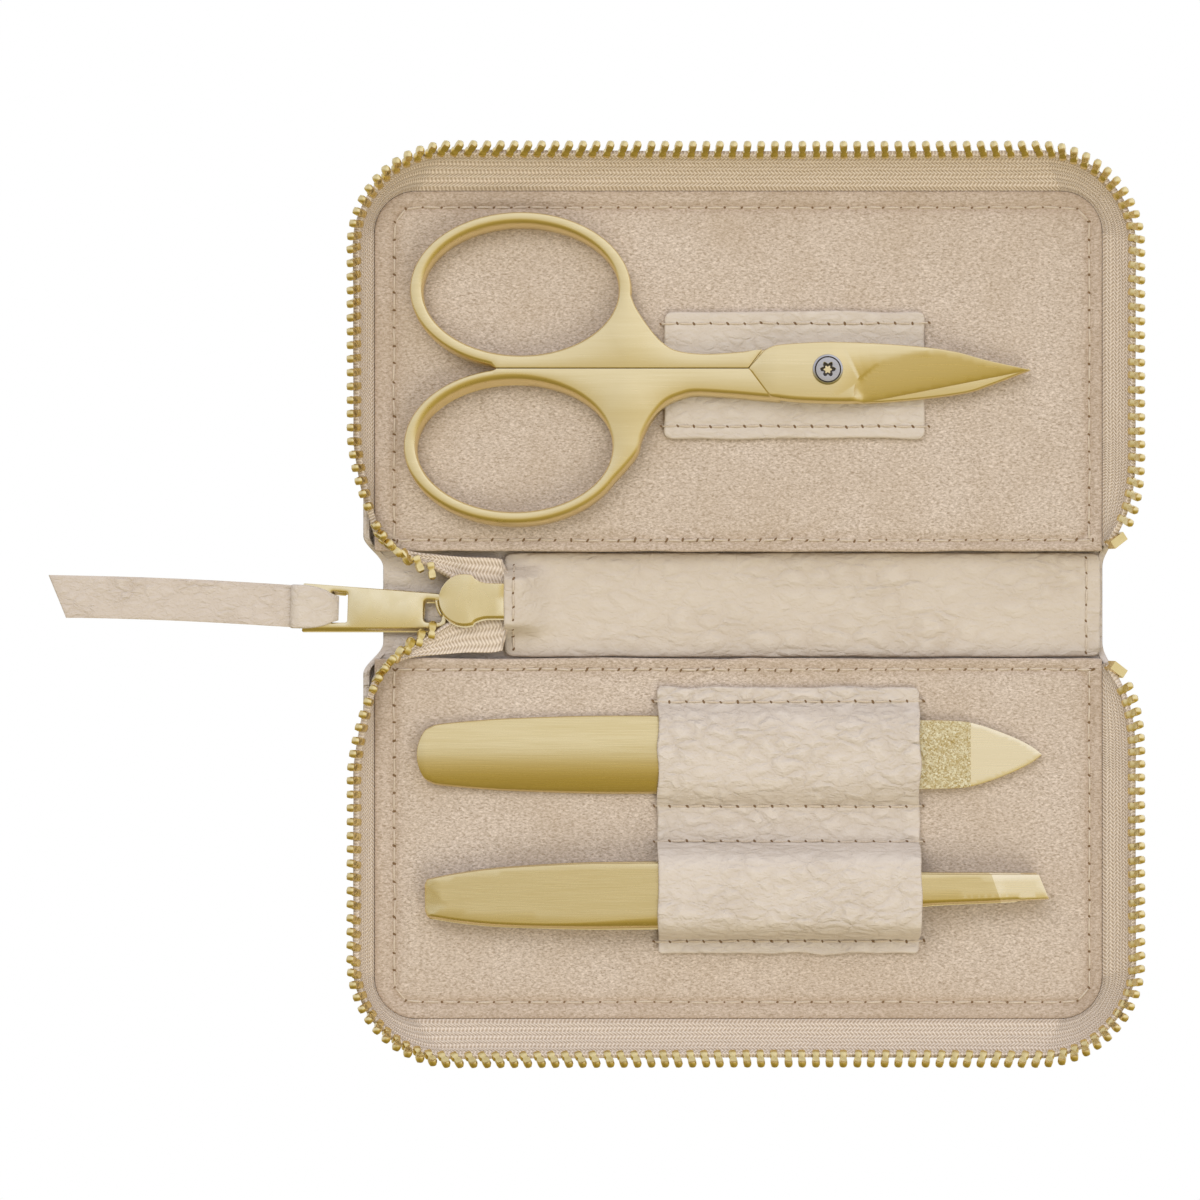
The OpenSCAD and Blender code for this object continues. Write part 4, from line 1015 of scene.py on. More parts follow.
# Loop: one layer of leather carried over the link's end bar, down through its window and back; it
# narrows towards the window
def makeStrapLoop():
    path = [(-22.05, -0.15), (-21.98, 0.55), (-21.3, 0.98), (-19.6, 1.06), (-17.6, 1.0), (-16.35, 0.72), (-15.75, 0.1),
            (-15.8, -0.5), (-16.6, -0.88), (-18.6, -0.92), (-20.8, -0.92), (-21.95, -0.8)]
    wides = [6.3, 6.35, 6.35, 6.2, 5.4, 4.2, 3.7, 3.7, 3.9, 4.4, 5.4, 6.1]
    line = curveThrough(np.column_stack([path, wides]), 7, closed=True)
    tangent = unit(np.roll(line[:, :2], -1, 0) - np.roll(line[:, :2], 1, 0))
    line = np.column_stack([line, -tangent[:, 1], tangent[:, 0]])
    x, z, wide, outX, outZ = np.concatenate([line, line[:1]]).T[..., None]

    # Its section, as (share of the width, distance from the middle line)
    share = np.array([0.08, 0.22, 0.36, 0.46, 0.49, 0.5])
    high = np.array([1, 1, 1, 1, 0.7, 0.15]) * pull["loopThick"] / 2
    outside = np.column_stack([np.concatenate([-share[::-1], share]), np.concatenate([high[::-1], high])])
    ring = np.concatenate([outside, outside[::-1] * (1, -1)])[None]
    y = ring[..., 0] * wide - 0.1 * np.clip((x + 20) / 4, 0, 1)
    shape = np.stack([x + outX * ring[..., 1], y, z + outZ * ring[..., 1]], -1)
    points = fromLink(shape).reshape(-1, 3)
    obj = finish(putMesh("strap_loop_leather", points, gridFaces(*shape.shape[:2], wrap=True)), smoothLeather, 60)
    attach(obj, "pull")
    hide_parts("strap_loop")


makeStrapTail()
makeStrapLoop()
print("pull strap made")


# Stitching.

seamLook = {
    "pitch": 2.55, "spinePitch": 2.3, "leatherPitch": 2.45, "patchPitch": (2.1, 2.2), "loose": 0.06, "threadR": 0.17,
    "arch": 0.1, "holeLong": 0.3, "liningHole": 1.35, "holeWide": 0.17, "holeTurn": 14,
}


# A row of stitches along a line on a surface: from hole to hole a short thread that arches a little,
# and in each hole a dark slanted lens of painted shade. The threads are one piece and the holes another.
def makeStitches(name, line, pitch, body, slant):
    run = lengths(line)
    count = max(round(run[-1] / pitch), 2)
    at = np.linspace(0, run[-1], count + 1)
    holes = pointsAt(line, at)
    holes[:, :2] += random.normal(0, seamLook["loose"], (len(holes), 2))
    start, along = holes[:-1], np.diff(holes, axis=0)
    up = np.array([0.0, 0.0, 1.0])
    side = unit(np.cross(up, along))
    t = np.linspace(0, 1, 8)
    ring = np.arange(6) * math.tau / 6
    thin = seamLook["threadR"] * (0.62 + 0.38 * np.sin(math.pi * t))
    arch = seamLook["arch"] * np.sin(math.pi * t) - 0.03
    one = np.zeros((8, 6, 3))
    one[..., 0] = (0.07 + 0.86 * t)[:, None]
    one[..., 1] = thin[:, None] * np.cos(ring)
    one[..., 2] = arch[:, None] + thin[:, None] * np.sin(ring)
    shape, faces = tube(one)
    turns = np.stack([along, side, np.broadcast_to(up, side.shape)], 1)
    thick = random.uniform(0.85, 1.15, (len(start), 1, 1))
    points, allFaces = copies(shape, faces, start, turns * np.concatenate([np.ones_like(thick), thick, thick], 1))
    threads = finish(putMesh(name + "_thread", points, allFaces), thread, 80)

    longHole = seamLook["holeLong"] * (seamLook["liningHole"] if "lining" in name else 1.0)
    lens = np.column_stack([np.cos(ring) * longHole, np.sin(ring) * seamLook["holeWide"], np.zeros(6)])
    lensPoints = np.concatenate([lens, [[0, 0, 0.05], [0, 0, -0.2]]])
    lensFaces = [[k, (k + 1) % 6, 6] for k in range(6)] + [[(k + 1) % 6, k, 7] for k in range(6)]
    tangent = unit(np.gradient(holes, axis=0))
    angle = np.radians(slant + random.normal(0, seamLook["holeTurn"], len(holes)))[:, None]
    sideAll = unit(np.cross(up, tangent))
    longAxis = tangent * np.cos(angle) + sideAll * np.sin(angle)
    wideAxis = np.cross(up, longAxis)
    turns = np.stack([longAxis, wideAxis, np.broadcast_to(up, wideAxis.shape)], 1)
    turns = turns * random.uniform(0.8, 1.25, (len(holes), 1, 1))
    points, allFaces = copies(lensPoints, lensFaces, holes + up * 0.03, turns)
    dark = finish(putMesh(name + "_holes", points, allFaces), paintedHoleShade, 80)
    for obj in (threads, dark):
        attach(obj, body)


# A line dropped onto a piece from above
def dropOn(line, obj):
    line = pointsAt(line, np.linspace(0, lengths(line)[-1], 240))
    tree = BVHTree.FromPolygons([v.co for v in obj.data.vertices], [p.vertices[:] for p in obj.data.polygons])
    for point in line:
        hit = tree.ray_cast(Vector((point[0] * mm, point[1] * mm, 0.02)), Vector((0, 0, -1)))[0]
        point[2] = hit[2] / mm - 0.01
    return line


# The closed line of a lining's seam: a rounded rectangle
def liningSeam(side):
    low, high = stitchBox()
    r = case["stitchCorner"]
    corners = [((low[0] + r, high[1] - r), 180, 90), ((high[0] - r, high[1] - r), 90, 0)]
    arcs = [np.array(c) + r * np.stack([np.cos(a), np.sin(a)], -1)
            for c, a in ((c, np.radians(np.linspace(a0, a1, 7))) for c, a0, a1 in corners)]
    line = np.concatenate([[low], *arcs, [(high[0], low[1])]])
    return np.column_stack([line * (1, side), np.full(len(line), case["floor"])])


for word, side in sides.items():
    line = liningSeam(side)
    suedeSheet = bpy.data.objects[word + "_suede"]
    makeStitches(word + "_lining_seam", dropOn(line, suedeSheet), seamLook["pitch"], word + "_half", slant=80)
    nearLine = dropOn(line[[0, -1]] + (0.4, 0, 0), suedeSheet)
    makeStitches(word + "_lining_near_seam", nearLine, seamLook["spinePitch"], word + "_half", slant=60)


# A line over the patch
def onPatch(ends):
    p = np.linspace(*ends, 40)
    return np.column_stack([p, patch["under"] + patch["thick"] + patchLift(*p.T)])


# A straight seam along X over a sheet, that starts and ends just beside it and lower
def acrossSheet(sheet, y, z, before, drop):
    (left, right), inside, after = sheet["x"], 0.4, 0.6
    xs = (left - before, left + inside, right - inside, right + after)
    return np.column_stack([xs, np.full(4, y), z - np.array([drop, 0, 0, drop])])


makeStitches("patch_left_seam", onPatch(patch["leftSeam"]), seamLook["patchPitch"][0], "spine", slant=-35)
makeStitches("patch_right_seam", onPatch(patch["rightSeam"]), seamLook["patchPitch"][1], "spine", slant=20)
for count, y in enumerate(rest["seams"]):
    line = acrossSheet(rest, y, 4.68, 0.5, 0.06)
    makeStitches(f"strap_seam_{count}", line, seamLook["leatherPitch"], "upper_half", slant=-50)
for count, y in enumerate(loop["seams"]):
    line = acrossSheet(loop, y, loop["floor"] + loop["thick"] + loopLift(y) - 0.08, 0.6, 0.3)
    makeStitches(f"loop_seam_{count}", line, seamLook["leatherPitch"], "lower_half", slant=-50)
print("stitching made")


# Plates: the flat metal parts.

# The eye meets the walls that face this way in plan, so those have the wider bevels
lean = np.array([0.34, -0.94])


# Left-hand normals of a closed line in plan, stretched at corners so that an inset keeps its width
def mitres(line):
    edge = unit(np.roll(line, -1, 0) - line)
    normal = np.stack([-edge[:, 1], edge[:, 0]], -1)
    before = np.roll(normal, 1, 0)
    return (normal + before) / np.maximum(1 + (normal * before).sum(1, keepdims=True), 0.35)


# Evens out a closed line to steps of about the given length, keeping its corners
def dense(line, step):
    line = np.asarray(line, float)
    out = []
    for a, b in zip(line, np.roll(line, -1, 0)):
        count = max(int(np.linalg.norm(b[:2] - a[:2]) / step), 1)
        out.append(a + (b - a) * (np.arange(count) / count)[:, None])
    return np.concatenate(out)


# Whether points in plan lie inside a closed line: a ray from each crosses it an odd number of times
def insideLine(points, line):
    x, y = points[:, :1], points[:, 1:2]
    a, b = line, np.roll(line, -1, 0)
    spans = (a[:, 1] > y) != (b[:, 1] > y)
    rise = np.where(a[:, 1] == b[:, 1], 1.0, b[:, 1] - a[:, 1])
    return (spans & (x < a[:, 0] + (y - a[:, 1]) * (b[:, 0] - a[:, 0]) / rise)).sum(1) % 2 == 1


# How far points in plan are from the nearest point of a line
def nearest(points, line):
    return np.hypot(points[:, :1] - line[None, :, 0], points[:, 1:2] - line[None, :, 1]).min(1)


# Which triangles lie inside an odd number of closed lines, counted from outside across the fixed edges
def oddTriangles(faces, fixed):
    beside = {}
    for k, face in enumerate(faces):
        for edge in zip(face, face[1:] + face[:1]):
            beside.setdefault(frozenset(edge), []).append(k)
    waiting = [(near[0], int(edge in fixed)) for edge, near in beside.items() if len(near) == 1]
    depth = {}
    while waiting:
        k, level = waiting.pop()
        if k not in depth:
            depth[k] = level
            for edge in map(frozenset, zip(faces[k], faces[k][1:] + faces[k][:1])):
                waiting += [(other, level ^ (edge in fixed)) for other in beside[edge] if other not in depth]
    return np.array([depth.get(k, 0) == 1 for k in range(len(faces))])


# A plate's edge from its underside up, as (inset, height share)
plateSection = [
    (1.0, 0.0), (0.35, 0.06), (0.0, 0.2), (0.0, 0.55), (0.07, 0.75), (0.3, 0.9), (0.62, 0.975), (1.0, 1.0),
]


# A plate from closed lines in plan, each (points, ease): the first is the outline and the rest are
# holes. Through its height each line moves in or out as plateSection says, by the bevel plus facing
# where the wall faces lean, times ease; flare widens the foot there. Flat triangles cap both ends.
# heightAt gives the top's height where it isn't level; inner are more points for that cap; look is
# how its faces are shaded: "flat", "smooth", or "both" for flat only where they are level.
def plate(loops, low, high, bevel, facing, flare=0.3, heightAt=None, inner=(), look="both"):
    rings, faces, flat, start = [], [], [], 0
    tops, bottoms = [], []
    topOf = heightAt or (lambda x, y: np.full(len(x), high))
    for index, (line, ease) in enumerate(loops):
        line = np.asarray(line, float)
        area = (line[:, 0] * np.roll(line[:, 1], -1) - np.roll(line[:, 0], -1) * line[:, 1]).sum()
        if (area > 0) == (index > 0):
            line, ease = line[::-1], (ease[::-1] if np.ndim(ease) else ease)
        normal = mitres(line)
        toLean = np.clip(-(unit(normal) @ lean), 0, 1)
        wide = (bevel + facing * toLean) * ease
        count = len(line)
        for inset, share in plateSection:
            out = flare * toLean * np.asarray(ease) * (1 - share) * (share < 0.9)
            xy = line + normal * (inset * (wide if share > 0.5 else np.minimum(wide, 0.3)) - out)[:, None]
            tall = topOf(*xy.T) - low
            # The upper rows lie on the bevel, which is 1.7 times as deep as wide; the lowest are a small round
            if share > 0.5:
                z = low + tall - (1 - share) / 0.45 * np.minimum(np.maximum(wide, 0.02) * 1.7, tall * 0.8)
            else:
                z = low + share / 0.2 * np.minimum(0.25, tall * 0.2)
            rings.append(np.column_stack([xy, z]))
        walls = gridFaces(len(plateSection), count, wrap=True, start=start)
        faces += walls.tolist()
        flat += [False] * len(walls)
        bottoms.append((start, count))
        tops.append((start + (len(plateSection) - 1) * count, count))
        start += len(plateSection) * count
    points = np.concatenate(rings)
    for at, (ends, extra) in enumerate(((bottoms, ()), (tops, inner))):
        ids = np.concatenate([np.arange(s, s + n) for s, n in ends])
        edges, base = [], 0
        for _, n in ends:
            k = np.arange(n)
            edges += np.stack([base + k, base + (k + 1) % n], -1).tolist()
            base += n
        coords = points[ids, :2].tolist()
        if len(extra):
            ids = np.concatenate([ids, np.arange(len(points), len(points) + len(extra))])
            points = np.concatenate([points, np.column_stack([extra, topOf(*extra.T)])])
            coords += extra.tolist()
        found = delaunay_2d_cdt([Vector(c) for c in coords], edges, [], 0, 1e-5)
        # Where lines cross in a sharp corner the triangulation adds points
        new = [k for k, o in enumerate(found[3]) if not o]
        added = np.array([found[0][k][:] for k in new]).reshape(-1, 2)
        target = {k: len(points) + n for n, k in enumerate(new)}
        heights = topOf(*added.T) if at else np.full(len(new), low)
        points = np.concatenate([points, np.column_stack([added, heights])])
        target.update({k: ids[o[0]] for k, o in enumerate(found[3]) if o})
        fixed = {frozenset(edge) for edge, o in zip(found[1], found[4]) if o}
        triangles = [list(face) for face in found[2]]
        corners = np.array([[target[k] for k in face] for face in triangles])[oddTriangles(triangles, fixed)]
        faces += corners.tolist()
        level = np.ptp(points[corners, 2], axis=1) < 1e-4
        flat += [True] * len(corners) if at == 0 or look == "flat" else (level & (look == "both")).tolist()
    return points, faces, flat


# One object from several plates or other skins, each (points, faces) or (points, faces, flat). second is
# another material, with a test that picks its faces by their middles.
def makeMetal(name, parts, material, sharp=40, second=None):
    points, faces = gather([p[:2] for p in parts])
    flat = np.concatenate([np.array(p[2]) if len(p) > 2 else np.zeros(len(p[1]), bool) for p in parts])
    obj = putMesh(name, points, faces)
    obj.data.polygons.foreach_set("use_smooth", ~flat)
    finish(obj, material, sharp, fill=True)
    if second:
        obj.data.materials.append(second[0])
        middles = np.array([p.center for p in obj.data.polygons]) / mm
        obj.data.polygons.foreach_set("material_index", second[1](middles).astype(int))
    return obj


# Scissors.

# Lines in plan from the pivot, and the heights of the layers
scissors = {
    "pivot": (12.7, 33.8), "shankLow": 5.08, "shankHigh": 7.48, "backLow": 4.85, "backHigh": 6.25,
    "frontLow": 6.31, "frontHigh": 7.71, "seam": 0.2, "gap": 0.05,
    "bowA": 15.9, "bowB": 11.2, "rim": 1.8, "bowEase": 1.35, "seamEase": 0.14, "upperBow": (-44.1, 11.45),
    "lowerBow": (-45.0, -11.05), "tip": (29.3, 0.0), "cutFrom": (5.4, -4.72), "levelEnd": 14.2,
}

# Half outlines and the run-out line of the hollow grinding, each a few points for a curve
upperNeck = [(-27.4, 8.7), (-25.5, 5.9), (-23.8, 4.0), (-21.8, 2.8), (-18.2, 2.3), (-14, 2.45), (-9.4, 2.9)]
lowerNeck = [(-28.7, -13.8), (-27.3, -11.9), (-26.6, -9.6), (-25.2, -7.0), (-23.3, -4.9), (-21, -3.85),
             (-18.8, -3.45), (-14, -3.7), (-9.4, -4.1), (-7, -4.3)]
backBelly = [(-8, -4.0), (-3, -4.6), (2, -4.75), (6.7, -4.75), (14, -4.15), (20.1, -3.3), (23.4, -2.25), (27, -0.9),
             (29.25, -0.05)]
backTop = [(29.3, 0.02), (10, 2.9), (-1, 3.8), (-9.4, 2.85), (-14, 2.35)]
frontTop = [(-9.1, 2.75), (-8.2, 3.25), (-6.8, 3.6), (-2.5, 3.9), (1.6, 3.98), (8, 3.7), (14.2, 3.2), (18.4, 2.55),
            (23, 1.35), (29.3, 0.02)]
frontBelly = [(-8.1, -4.15), (-5.5, -4.5), (-2.7, -4.7), (2, -4.82), (5.4, -4.72)]
runOut = [(4.0, -4.8), (3.75, -3.0), (4.4, -1.2), (6.1, 0.5), (8.6, 1.85), (11.6, 2.35), (14.2, 2.6)]


def ellipseLine(middle, a, b, start, end, count):
    t = np.radians(np.linspace(start, end, count))
    return np.stack([middle[0] + a * np.cos(t), middle[1] + b * np.sin(t)], -1)


# Ease along a line: small where a point lies in one of the boxes, on the seam or the joint, full elsewhere
def easeNear(line, tests, small):
    ease = np.ones(len(line))
    for x0, x1, y0, y1 in tests:
        inside = (line[:, 0] >= x0) & (line[:, 0] <= x1) & (line[:, 1] >= y0) & (line[:, 1] <= y1)
        ease[inside] = small
    return ease


def makeScissors():
    s = scissors
    a, b = s["bowA"], s["bowB"]
    up, down = s["seam"] + s["gap"], s["seam"] - s["gap"]

    # A bow with its shank, open inside, from an outline, the bow's middle and the places with a small ease
    def shank(outline, middle, tests, facing, flare):
        outline = dense(outline, 0.6)
        hole = ellipseLine(middle, a - s["rim"], b - s["rim"], 0, 360, 121)[:-1]
        loops = [(outline, easeNear(outline, tests, s["seamEase"])), (hole, np.full(len(hole), s["bowEase"]))]
        return plate(loops, s["shankLow"], s["shankHigh"], 0.3, facing, flare)

    bow = ellipseLine(s["upperBow"], a, b, -4, 254, 120)
    neck = curveThrough([bow[0], *upperNeck], 8)[3:]
    upper = np.concatenate([bow, [(-47.6, up), (-30, up), (-11.4, up)], neck[::-1]])
    back = [shank(upper, s["upperBow"], [(-48, -11, -0.2, 0.45), (-11.6, -9.2, 0.2, 3.0)], 0.35, 0.45)]
    blade = dense([*curveThrough(backBelly, 6), *backTop, (-14, up), (-11.2, up)], 0.7)
    back.append(plate([(blade, 0.7)], s["backLow"], s["backHigh"], 0.22, 0.25, 0.1))

    bow = ellipseLine(s["lowerBow"], a, b, 100, 333, 110)
    neck = curveThrough([bow[-1], *lowerNeck], 8)[2:]
    lower = np.concatenate([[(-11.2, down), (-30, down), (-47.6, down)], bow, neck, [(-6.5, -3), (-8, down)]])
    front = [shank(lower, s["lowerBow"], [(-48, -6, -0.1, 0.4), (-8, -6, -3.2, 0.3)], 0.55, 0.5), frontBlade(down)]

    for word, parts in (("scissors_back", back), ("scissors_front", front)):
        parts = [(p[0] + (*s["pivot"], 0), *p[1:]) for p in parts]
        obj = makeMetal(word + "_half", parts, brushedGold)
        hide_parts(word)
        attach(obj, word + "_half")


# The front blade, level up to the run-out line and hollowed from there towards its cutting edge
def frontBlade(seam):
    s = scissors
    start, tip, end, high = np.array(s["cutFrom"]), np.array(s["tip"]), s["levelEnd"], s["frontHigh"]
    cutWay = unit(tip - start)
    run = curveThrough(runOut, 5)

    def fromCut(x, y):
        return (x - tip[0]) * -cutWay[1] + (y - tip[1]) * cutWay[0]

    def bladeTop(x, y):
        hollow = s["frontLow"] + 0.12 + 1.28 * (np.clip(fromCut(x, y), 0, 6) / 5.7) ** 0.8
        inside = (x > np.interp(y, run[:, 1], run[:, 0]) - 1e-3) & (y < 2.62) | (x > end)
        drop = np.where(x > end, 5.0, nearest(np.column_stack([x, y]), run))
        return np.where(inside, np.minimum(high, np.maximum(hollow, high - 0.95 * drop)), high)
    top, belly = curveThrough(frontTop, 8), curveThrough(frontBelly, 6)
    line = dense(np.concatenate([belly, [s["tip"]], top[::-1][1:], [(-11.35, seam + 0.02)]]), 0.55)
    x, y = line.T

    # Sharp along the cutting edge, blunter along the back and at the joint
    ease = np.where((np.abs(fromCut(x, y)) < 0.05) & (x > 5.6), 0.06, 1.0)
    ease = np.where(y > 1.0, 0.7, ease)
    ease = np.where((x < -8.2) & (y > -4.1), 0.5, ease)
    ease = np.where((y > 0) & (x > 18), 0.3, ease)

    # More points where the top is hollow, clear of its borders
    grid = np.stack(np.meshgrid(np.arange(4.2, 28, 0.55), np.arange(-4.3, 2.5, 0.45)), -1).reshape(-1, 2)
    x, y = grid.T
    keep = y < np.interp(x, top[:, 0], top[:, 1]) - 0.75
    keep &= y > np.interp(x, [start[0], tip[0]], [start[1], 0]) + 0.3
    keep &= (nearest(grid, run) > 0.3) & ((x > np.interp(y, run[:, 1], run[:, 0]) + 0.25) | (x > end))
    inner = np.concatenate([run[2:], grid[keep]])
    return plate([(line, ease)], s["frontLow"], high, 0.3, 0.6, 0.1, bladeTop, inner)


makeScissors()
print("scissors made")


# Slider and pull link.

slider = {
    "head": (-39.6, 0.79), "r": 3.66, "end": -33.8, "ridge": 1.1, "back": (4.75, 5.32), "front": (2.8, 3.35),
    "post": (-41.9, 0.7, 1.1), "bridgeHigh": 1.65, "bridgeLow": 1.15, "bridge": (-43.2, -36.3, -0.45, 0.65),
}


# A round post between two heights
def post(x, y, radius, low, high, count=24):
    ring = ellipseLine((x, y), radius, radius, 0, 360, count + 1)[:-1]
    return tube(np.stack([np.column_stack([ring, np.full(count, z)]) for z in (low, high)]))


# A block with corners at two points
def block(low, high):
    (x0, y0, z0), (x1, y1, z1) = low, high
    ring = np.array([(x0, y0), (x1, y0), (x1, y1), (x0, y1)])
    points = np.concatenate([np.column_stack([ring, np.full(4, z)]) for z in (z0, z1)])
    return points, [[3, 2, 1, 0], [4, 5, 6, 7]] + [[k, (k + 1) % 4, (k + 1) % 4 + 4, k + 4] for k in range(4)]


def makeSlider():
    s = slider
    head = ellipseLine(s["head"], s["r"], s["r"], 72, 288, 64)
    under = curveThrough([head[-1], (-37.95, -2.2), (-36.6, -1.8), (-34.4, -1.77)], 6)[1:]
    over = curveThrough([(-34.4, 3.1), (-36.7, 3.2), (-37.9, 3.72), head[0]], 6)[:-1]
    line = np.concatenate([head, under, [(s["end"], -1.77), (s["end"] - 0.05, 3.1)], over])
    line = dense(line, 0.3)
    ridge, top = s["ridge"], s["back"][1]

    # A shallow valley along the ridge line: the upper half leans to -Y and the lower half to +Y
    def valley(x, y):
        return top - 0.3 + 0.15 * np.clip(y - ridge, 0, 4) * 0.9 + 0.035 * np.clip(ridge - y, 0, 4)
    xs, ys = np.meshgrid(np.arange(-42.8, -34.3, 0.4), [ridge])
    inner = np.column_stack([xs.ravel(), ys.ravel()])
    parts = [plate([(line, 1.0)], *s["back"], 0.13, 0.1, 0.55, valley, inner, "flat")]
    parts.append(plate([(line, 1.0)], *s["front"], 0.1, 0.1, 0.2))
    parts.append(post(*s["post"], s["front"][1] - 0.02, s["back"][0] + 0.02))
    # The bridge: a rim round the nose that the pull's bar hangs behind, and a strip below it
    outside = ellipseLine(s["head"], 4.3, 4.3, 181, 216, 14)
    rim = np.concatenate([outside, ellipseLine(s["head"], 3.75, 3.75, 216, 181, 14)])
    parts.append(plate([(dense(rim, 0.25), 1.0)], s["bridgeLow"], 3.5, 0.2, 0.1, 0.0))
    x0, x1, y0, y1 = s["bridge"]
    parts.append(block((x0, y0, s["bridgeLow"]), (x1, y1, s["bridgeHigh"])))
    parts.append(block((x1 - 0.5, y0, s["bridgeHigh"] - 0.02), (x1, y1, s["front"][0] + 0.02)))
    obj = makeMetal("slider_body", parts, paleGold, 30)
    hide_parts("slider")
    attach(obj, "spine")


# Rounds the corners of a closed outline: each corner is cut off at the given distance by an arc
def roundCorners(points, radius, steps=5):
    p = np.asarray(points, float)
    radius = np.broadcast_to(radius, len(p))
    out = []
    for k, r in enumerate(radius):
        a, b, c = p[k - 1], p[k], p[(k + 1) % len(p)]
        start, end = b + unit(a - b) * r, b + unit(c - b) * r
        t = np.linspace(0, 1, steps + 1)[:, None]
        out.append((1 - t) ** 2 * start + 2 * t * (1 - t) * b + t ** 2 * end)
    return np.concatenate(out)


def makeLink():
    corners = [(0.4, -2.4), (0.4, 2.0), (-0.9, 2.55), (-20.6, 3.4), (-20.6, -3.35), (-1.2, -2.75)]
    outline = roundCorners(corners, (0.7, 0.7, 0.9, 0.25, 0.25, 0.9))
    eye = roundCorners([(-0.45, 1.45), (-3.0, 1.45), (-3.0, -1.7), (-0.45, -1.7)], 0.55)
    window = roundCorners([(-14.1, 2.1), (-16.5, 2.2), (-16.5, -2.2), (-14.1, -2.1)], 0.35)
    half = pull["barThick"] / 2
    loops = [(dense(line, 0.5), 1.0) for line in (outline, eye, window)]
    points, faces, flat = plate(loops, -half, half, 0.2, 0.2, 0.5)
    obj = makeMetal("pull_plate", [(fromLink(points), faces, flat)], paleGold)
    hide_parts("pull_link")
    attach(obj, "pull")


makeSlider()
makeLink()
print("slider and link made")


# Nail file, tweezers, screw, stops.

tools = {
    "fileY": -21.6, "fileLow": 4.05, "fileThick": 2.0, "fileEdge": 0.8, "bladeThick": 1.2, "grit": (25.75, 33.45),
    "coatThick": 0.12, "tweezersY": -41.3, "armMid": 6.35, "armThick": 1.1, "turn": 1.1, "weld": -42.5, "armTip": 44.4,
    "armHalf": 2.3, "tipTop": 2.0,
}


# Points on a grid inside an outline, a little away from it
def gridInside(outline, stepX, stepY, margin):
    (x0, y0), (x1, y1) = outline.min(0), outline.max(0)
    gx, gy = np.meshgrid(np.arange(x0 + margin, x1 - margin, stepX), np.arange(y0 + margin, y1 - margin, stepY))
    points = np.column_stack([gx.ravel(), gy.ravel()])
    return points[(nearest(points, outline) > margin) & insideLine(points, outline)]


# The file: a handle with a rounded back that runs out into a flat blade, a band of grit, a bare point
def makeFile():
    t = tools
    half = [(-46.4, 0.0), (-46.34, 0.9), (-46.12, 1.8), (-45.76, 2.7), (-45.2, 3.55), (-44.3, 4.05), (-43, 4.42),
            (-38, 4.9), (-32.4, 5.25), (-20.4, 5.6), (-5.4, 5.55), (9.6, 5.25), (25.7, 5.0), (31, 4.88),
            (33.45, 4.62), (35.9, 3.93), (38, 3.17), (40.1, 2.3), (42.2, 1.2), (43.55, 0.2), (43.66, 0.0)]
    upper = curveThrough(half, 6)
    outline = dense(np.concatenate([upper, upper[-2:0:-1] * (1, -1)]), 0.6)
    crown = t["fileThick"] - t["fileEdge"]
    radius = (5.6 ** 2 + crown ** 2) / (2 * crown)

    # A circle's arc across the handle, easing into the level blade under the loop
    def back(x, y):
        round_ = t["fileThick"] - radius + np.sqrt(radius ** 2 - np.minimum(np.abs(y), 5.7) ** 2)
        share = smooth((x - 15) / 8)
        return t["fileLow"] + round_ * (1 - share) + t["bladeThick"] * share
    inner = gridInside(outline, 0.9, 0.42, 0.45)
    ease = np.where(outline[:, 0] > 33, 0.35, 1.0)
    ease = np.where(outline[:, 0] < -45, 0.8, ease)
    points, faces, flat = plate([(outline, ease)], t["fileLow"], t["fileLow"] + 2, 0.16, 0.22, 0.1, back, inner)
    obj = makeMetal("file_steel", [(points + (0, t["fileY"], 0), faces, flat)], fileGold, 50)
    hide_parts("nail_file")
    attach(obj, "file")

    x0, x1 = t["grit"]
    top = t["fileLow"] + t["bladeThick"]
    along = np.linspace(x0, x1, 20)
    ends = np.column_stack([along, np.interp(along, upper[:, 0], upper[:, 1]) - 0.04])
    band = dense(np.concatenate([ends[::-1], ends * (1, -1)]), 0.4)
    grains = gridInside(band, 0.26, 0.26, 0.15)
    rough = random.uniform(-0.06, 0.05, len(grains))
    points, faces, flat = plate([(band, 0.3)], top - 0.01, top + t["coatThick"], 0.08, 0.0, 0.0,
                                lambda x, y: np.full(len(x), top + t["coatThick"]), grains, "flat")
    points[-len(grains):, 2] += rough
    obj = makeMetal("file_grit", [(points + (0, t["fileY"], 0), faces, flat)], grit)
    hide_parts("file_coating")
    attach(obj, "file")


# From an arm's own axes to the frame: the tweezers lie a little turned about their middle
def fromArm(points):
    return turned(points, tools["turn"], (0, tools["tweezersY"], tools["armMid"]))


# Height of an arm's outer face over the middle plane: a quadratic curve from the weld to the tip
def armOut(x):
    t = np.clip((x - tools["weld"]) / (tools["armTip"] - tools["weld"]), 0, 1)
    thick, high, tip = tools["armThick"], tools["armHalf"], tools["tipTop"]
    bulge = high + math.sqrt((high - thick) * (high - tip))
    return (1 - t) ** 2 * thick + 2 * t * (1 - t) * bulge + t ** 2 * tip


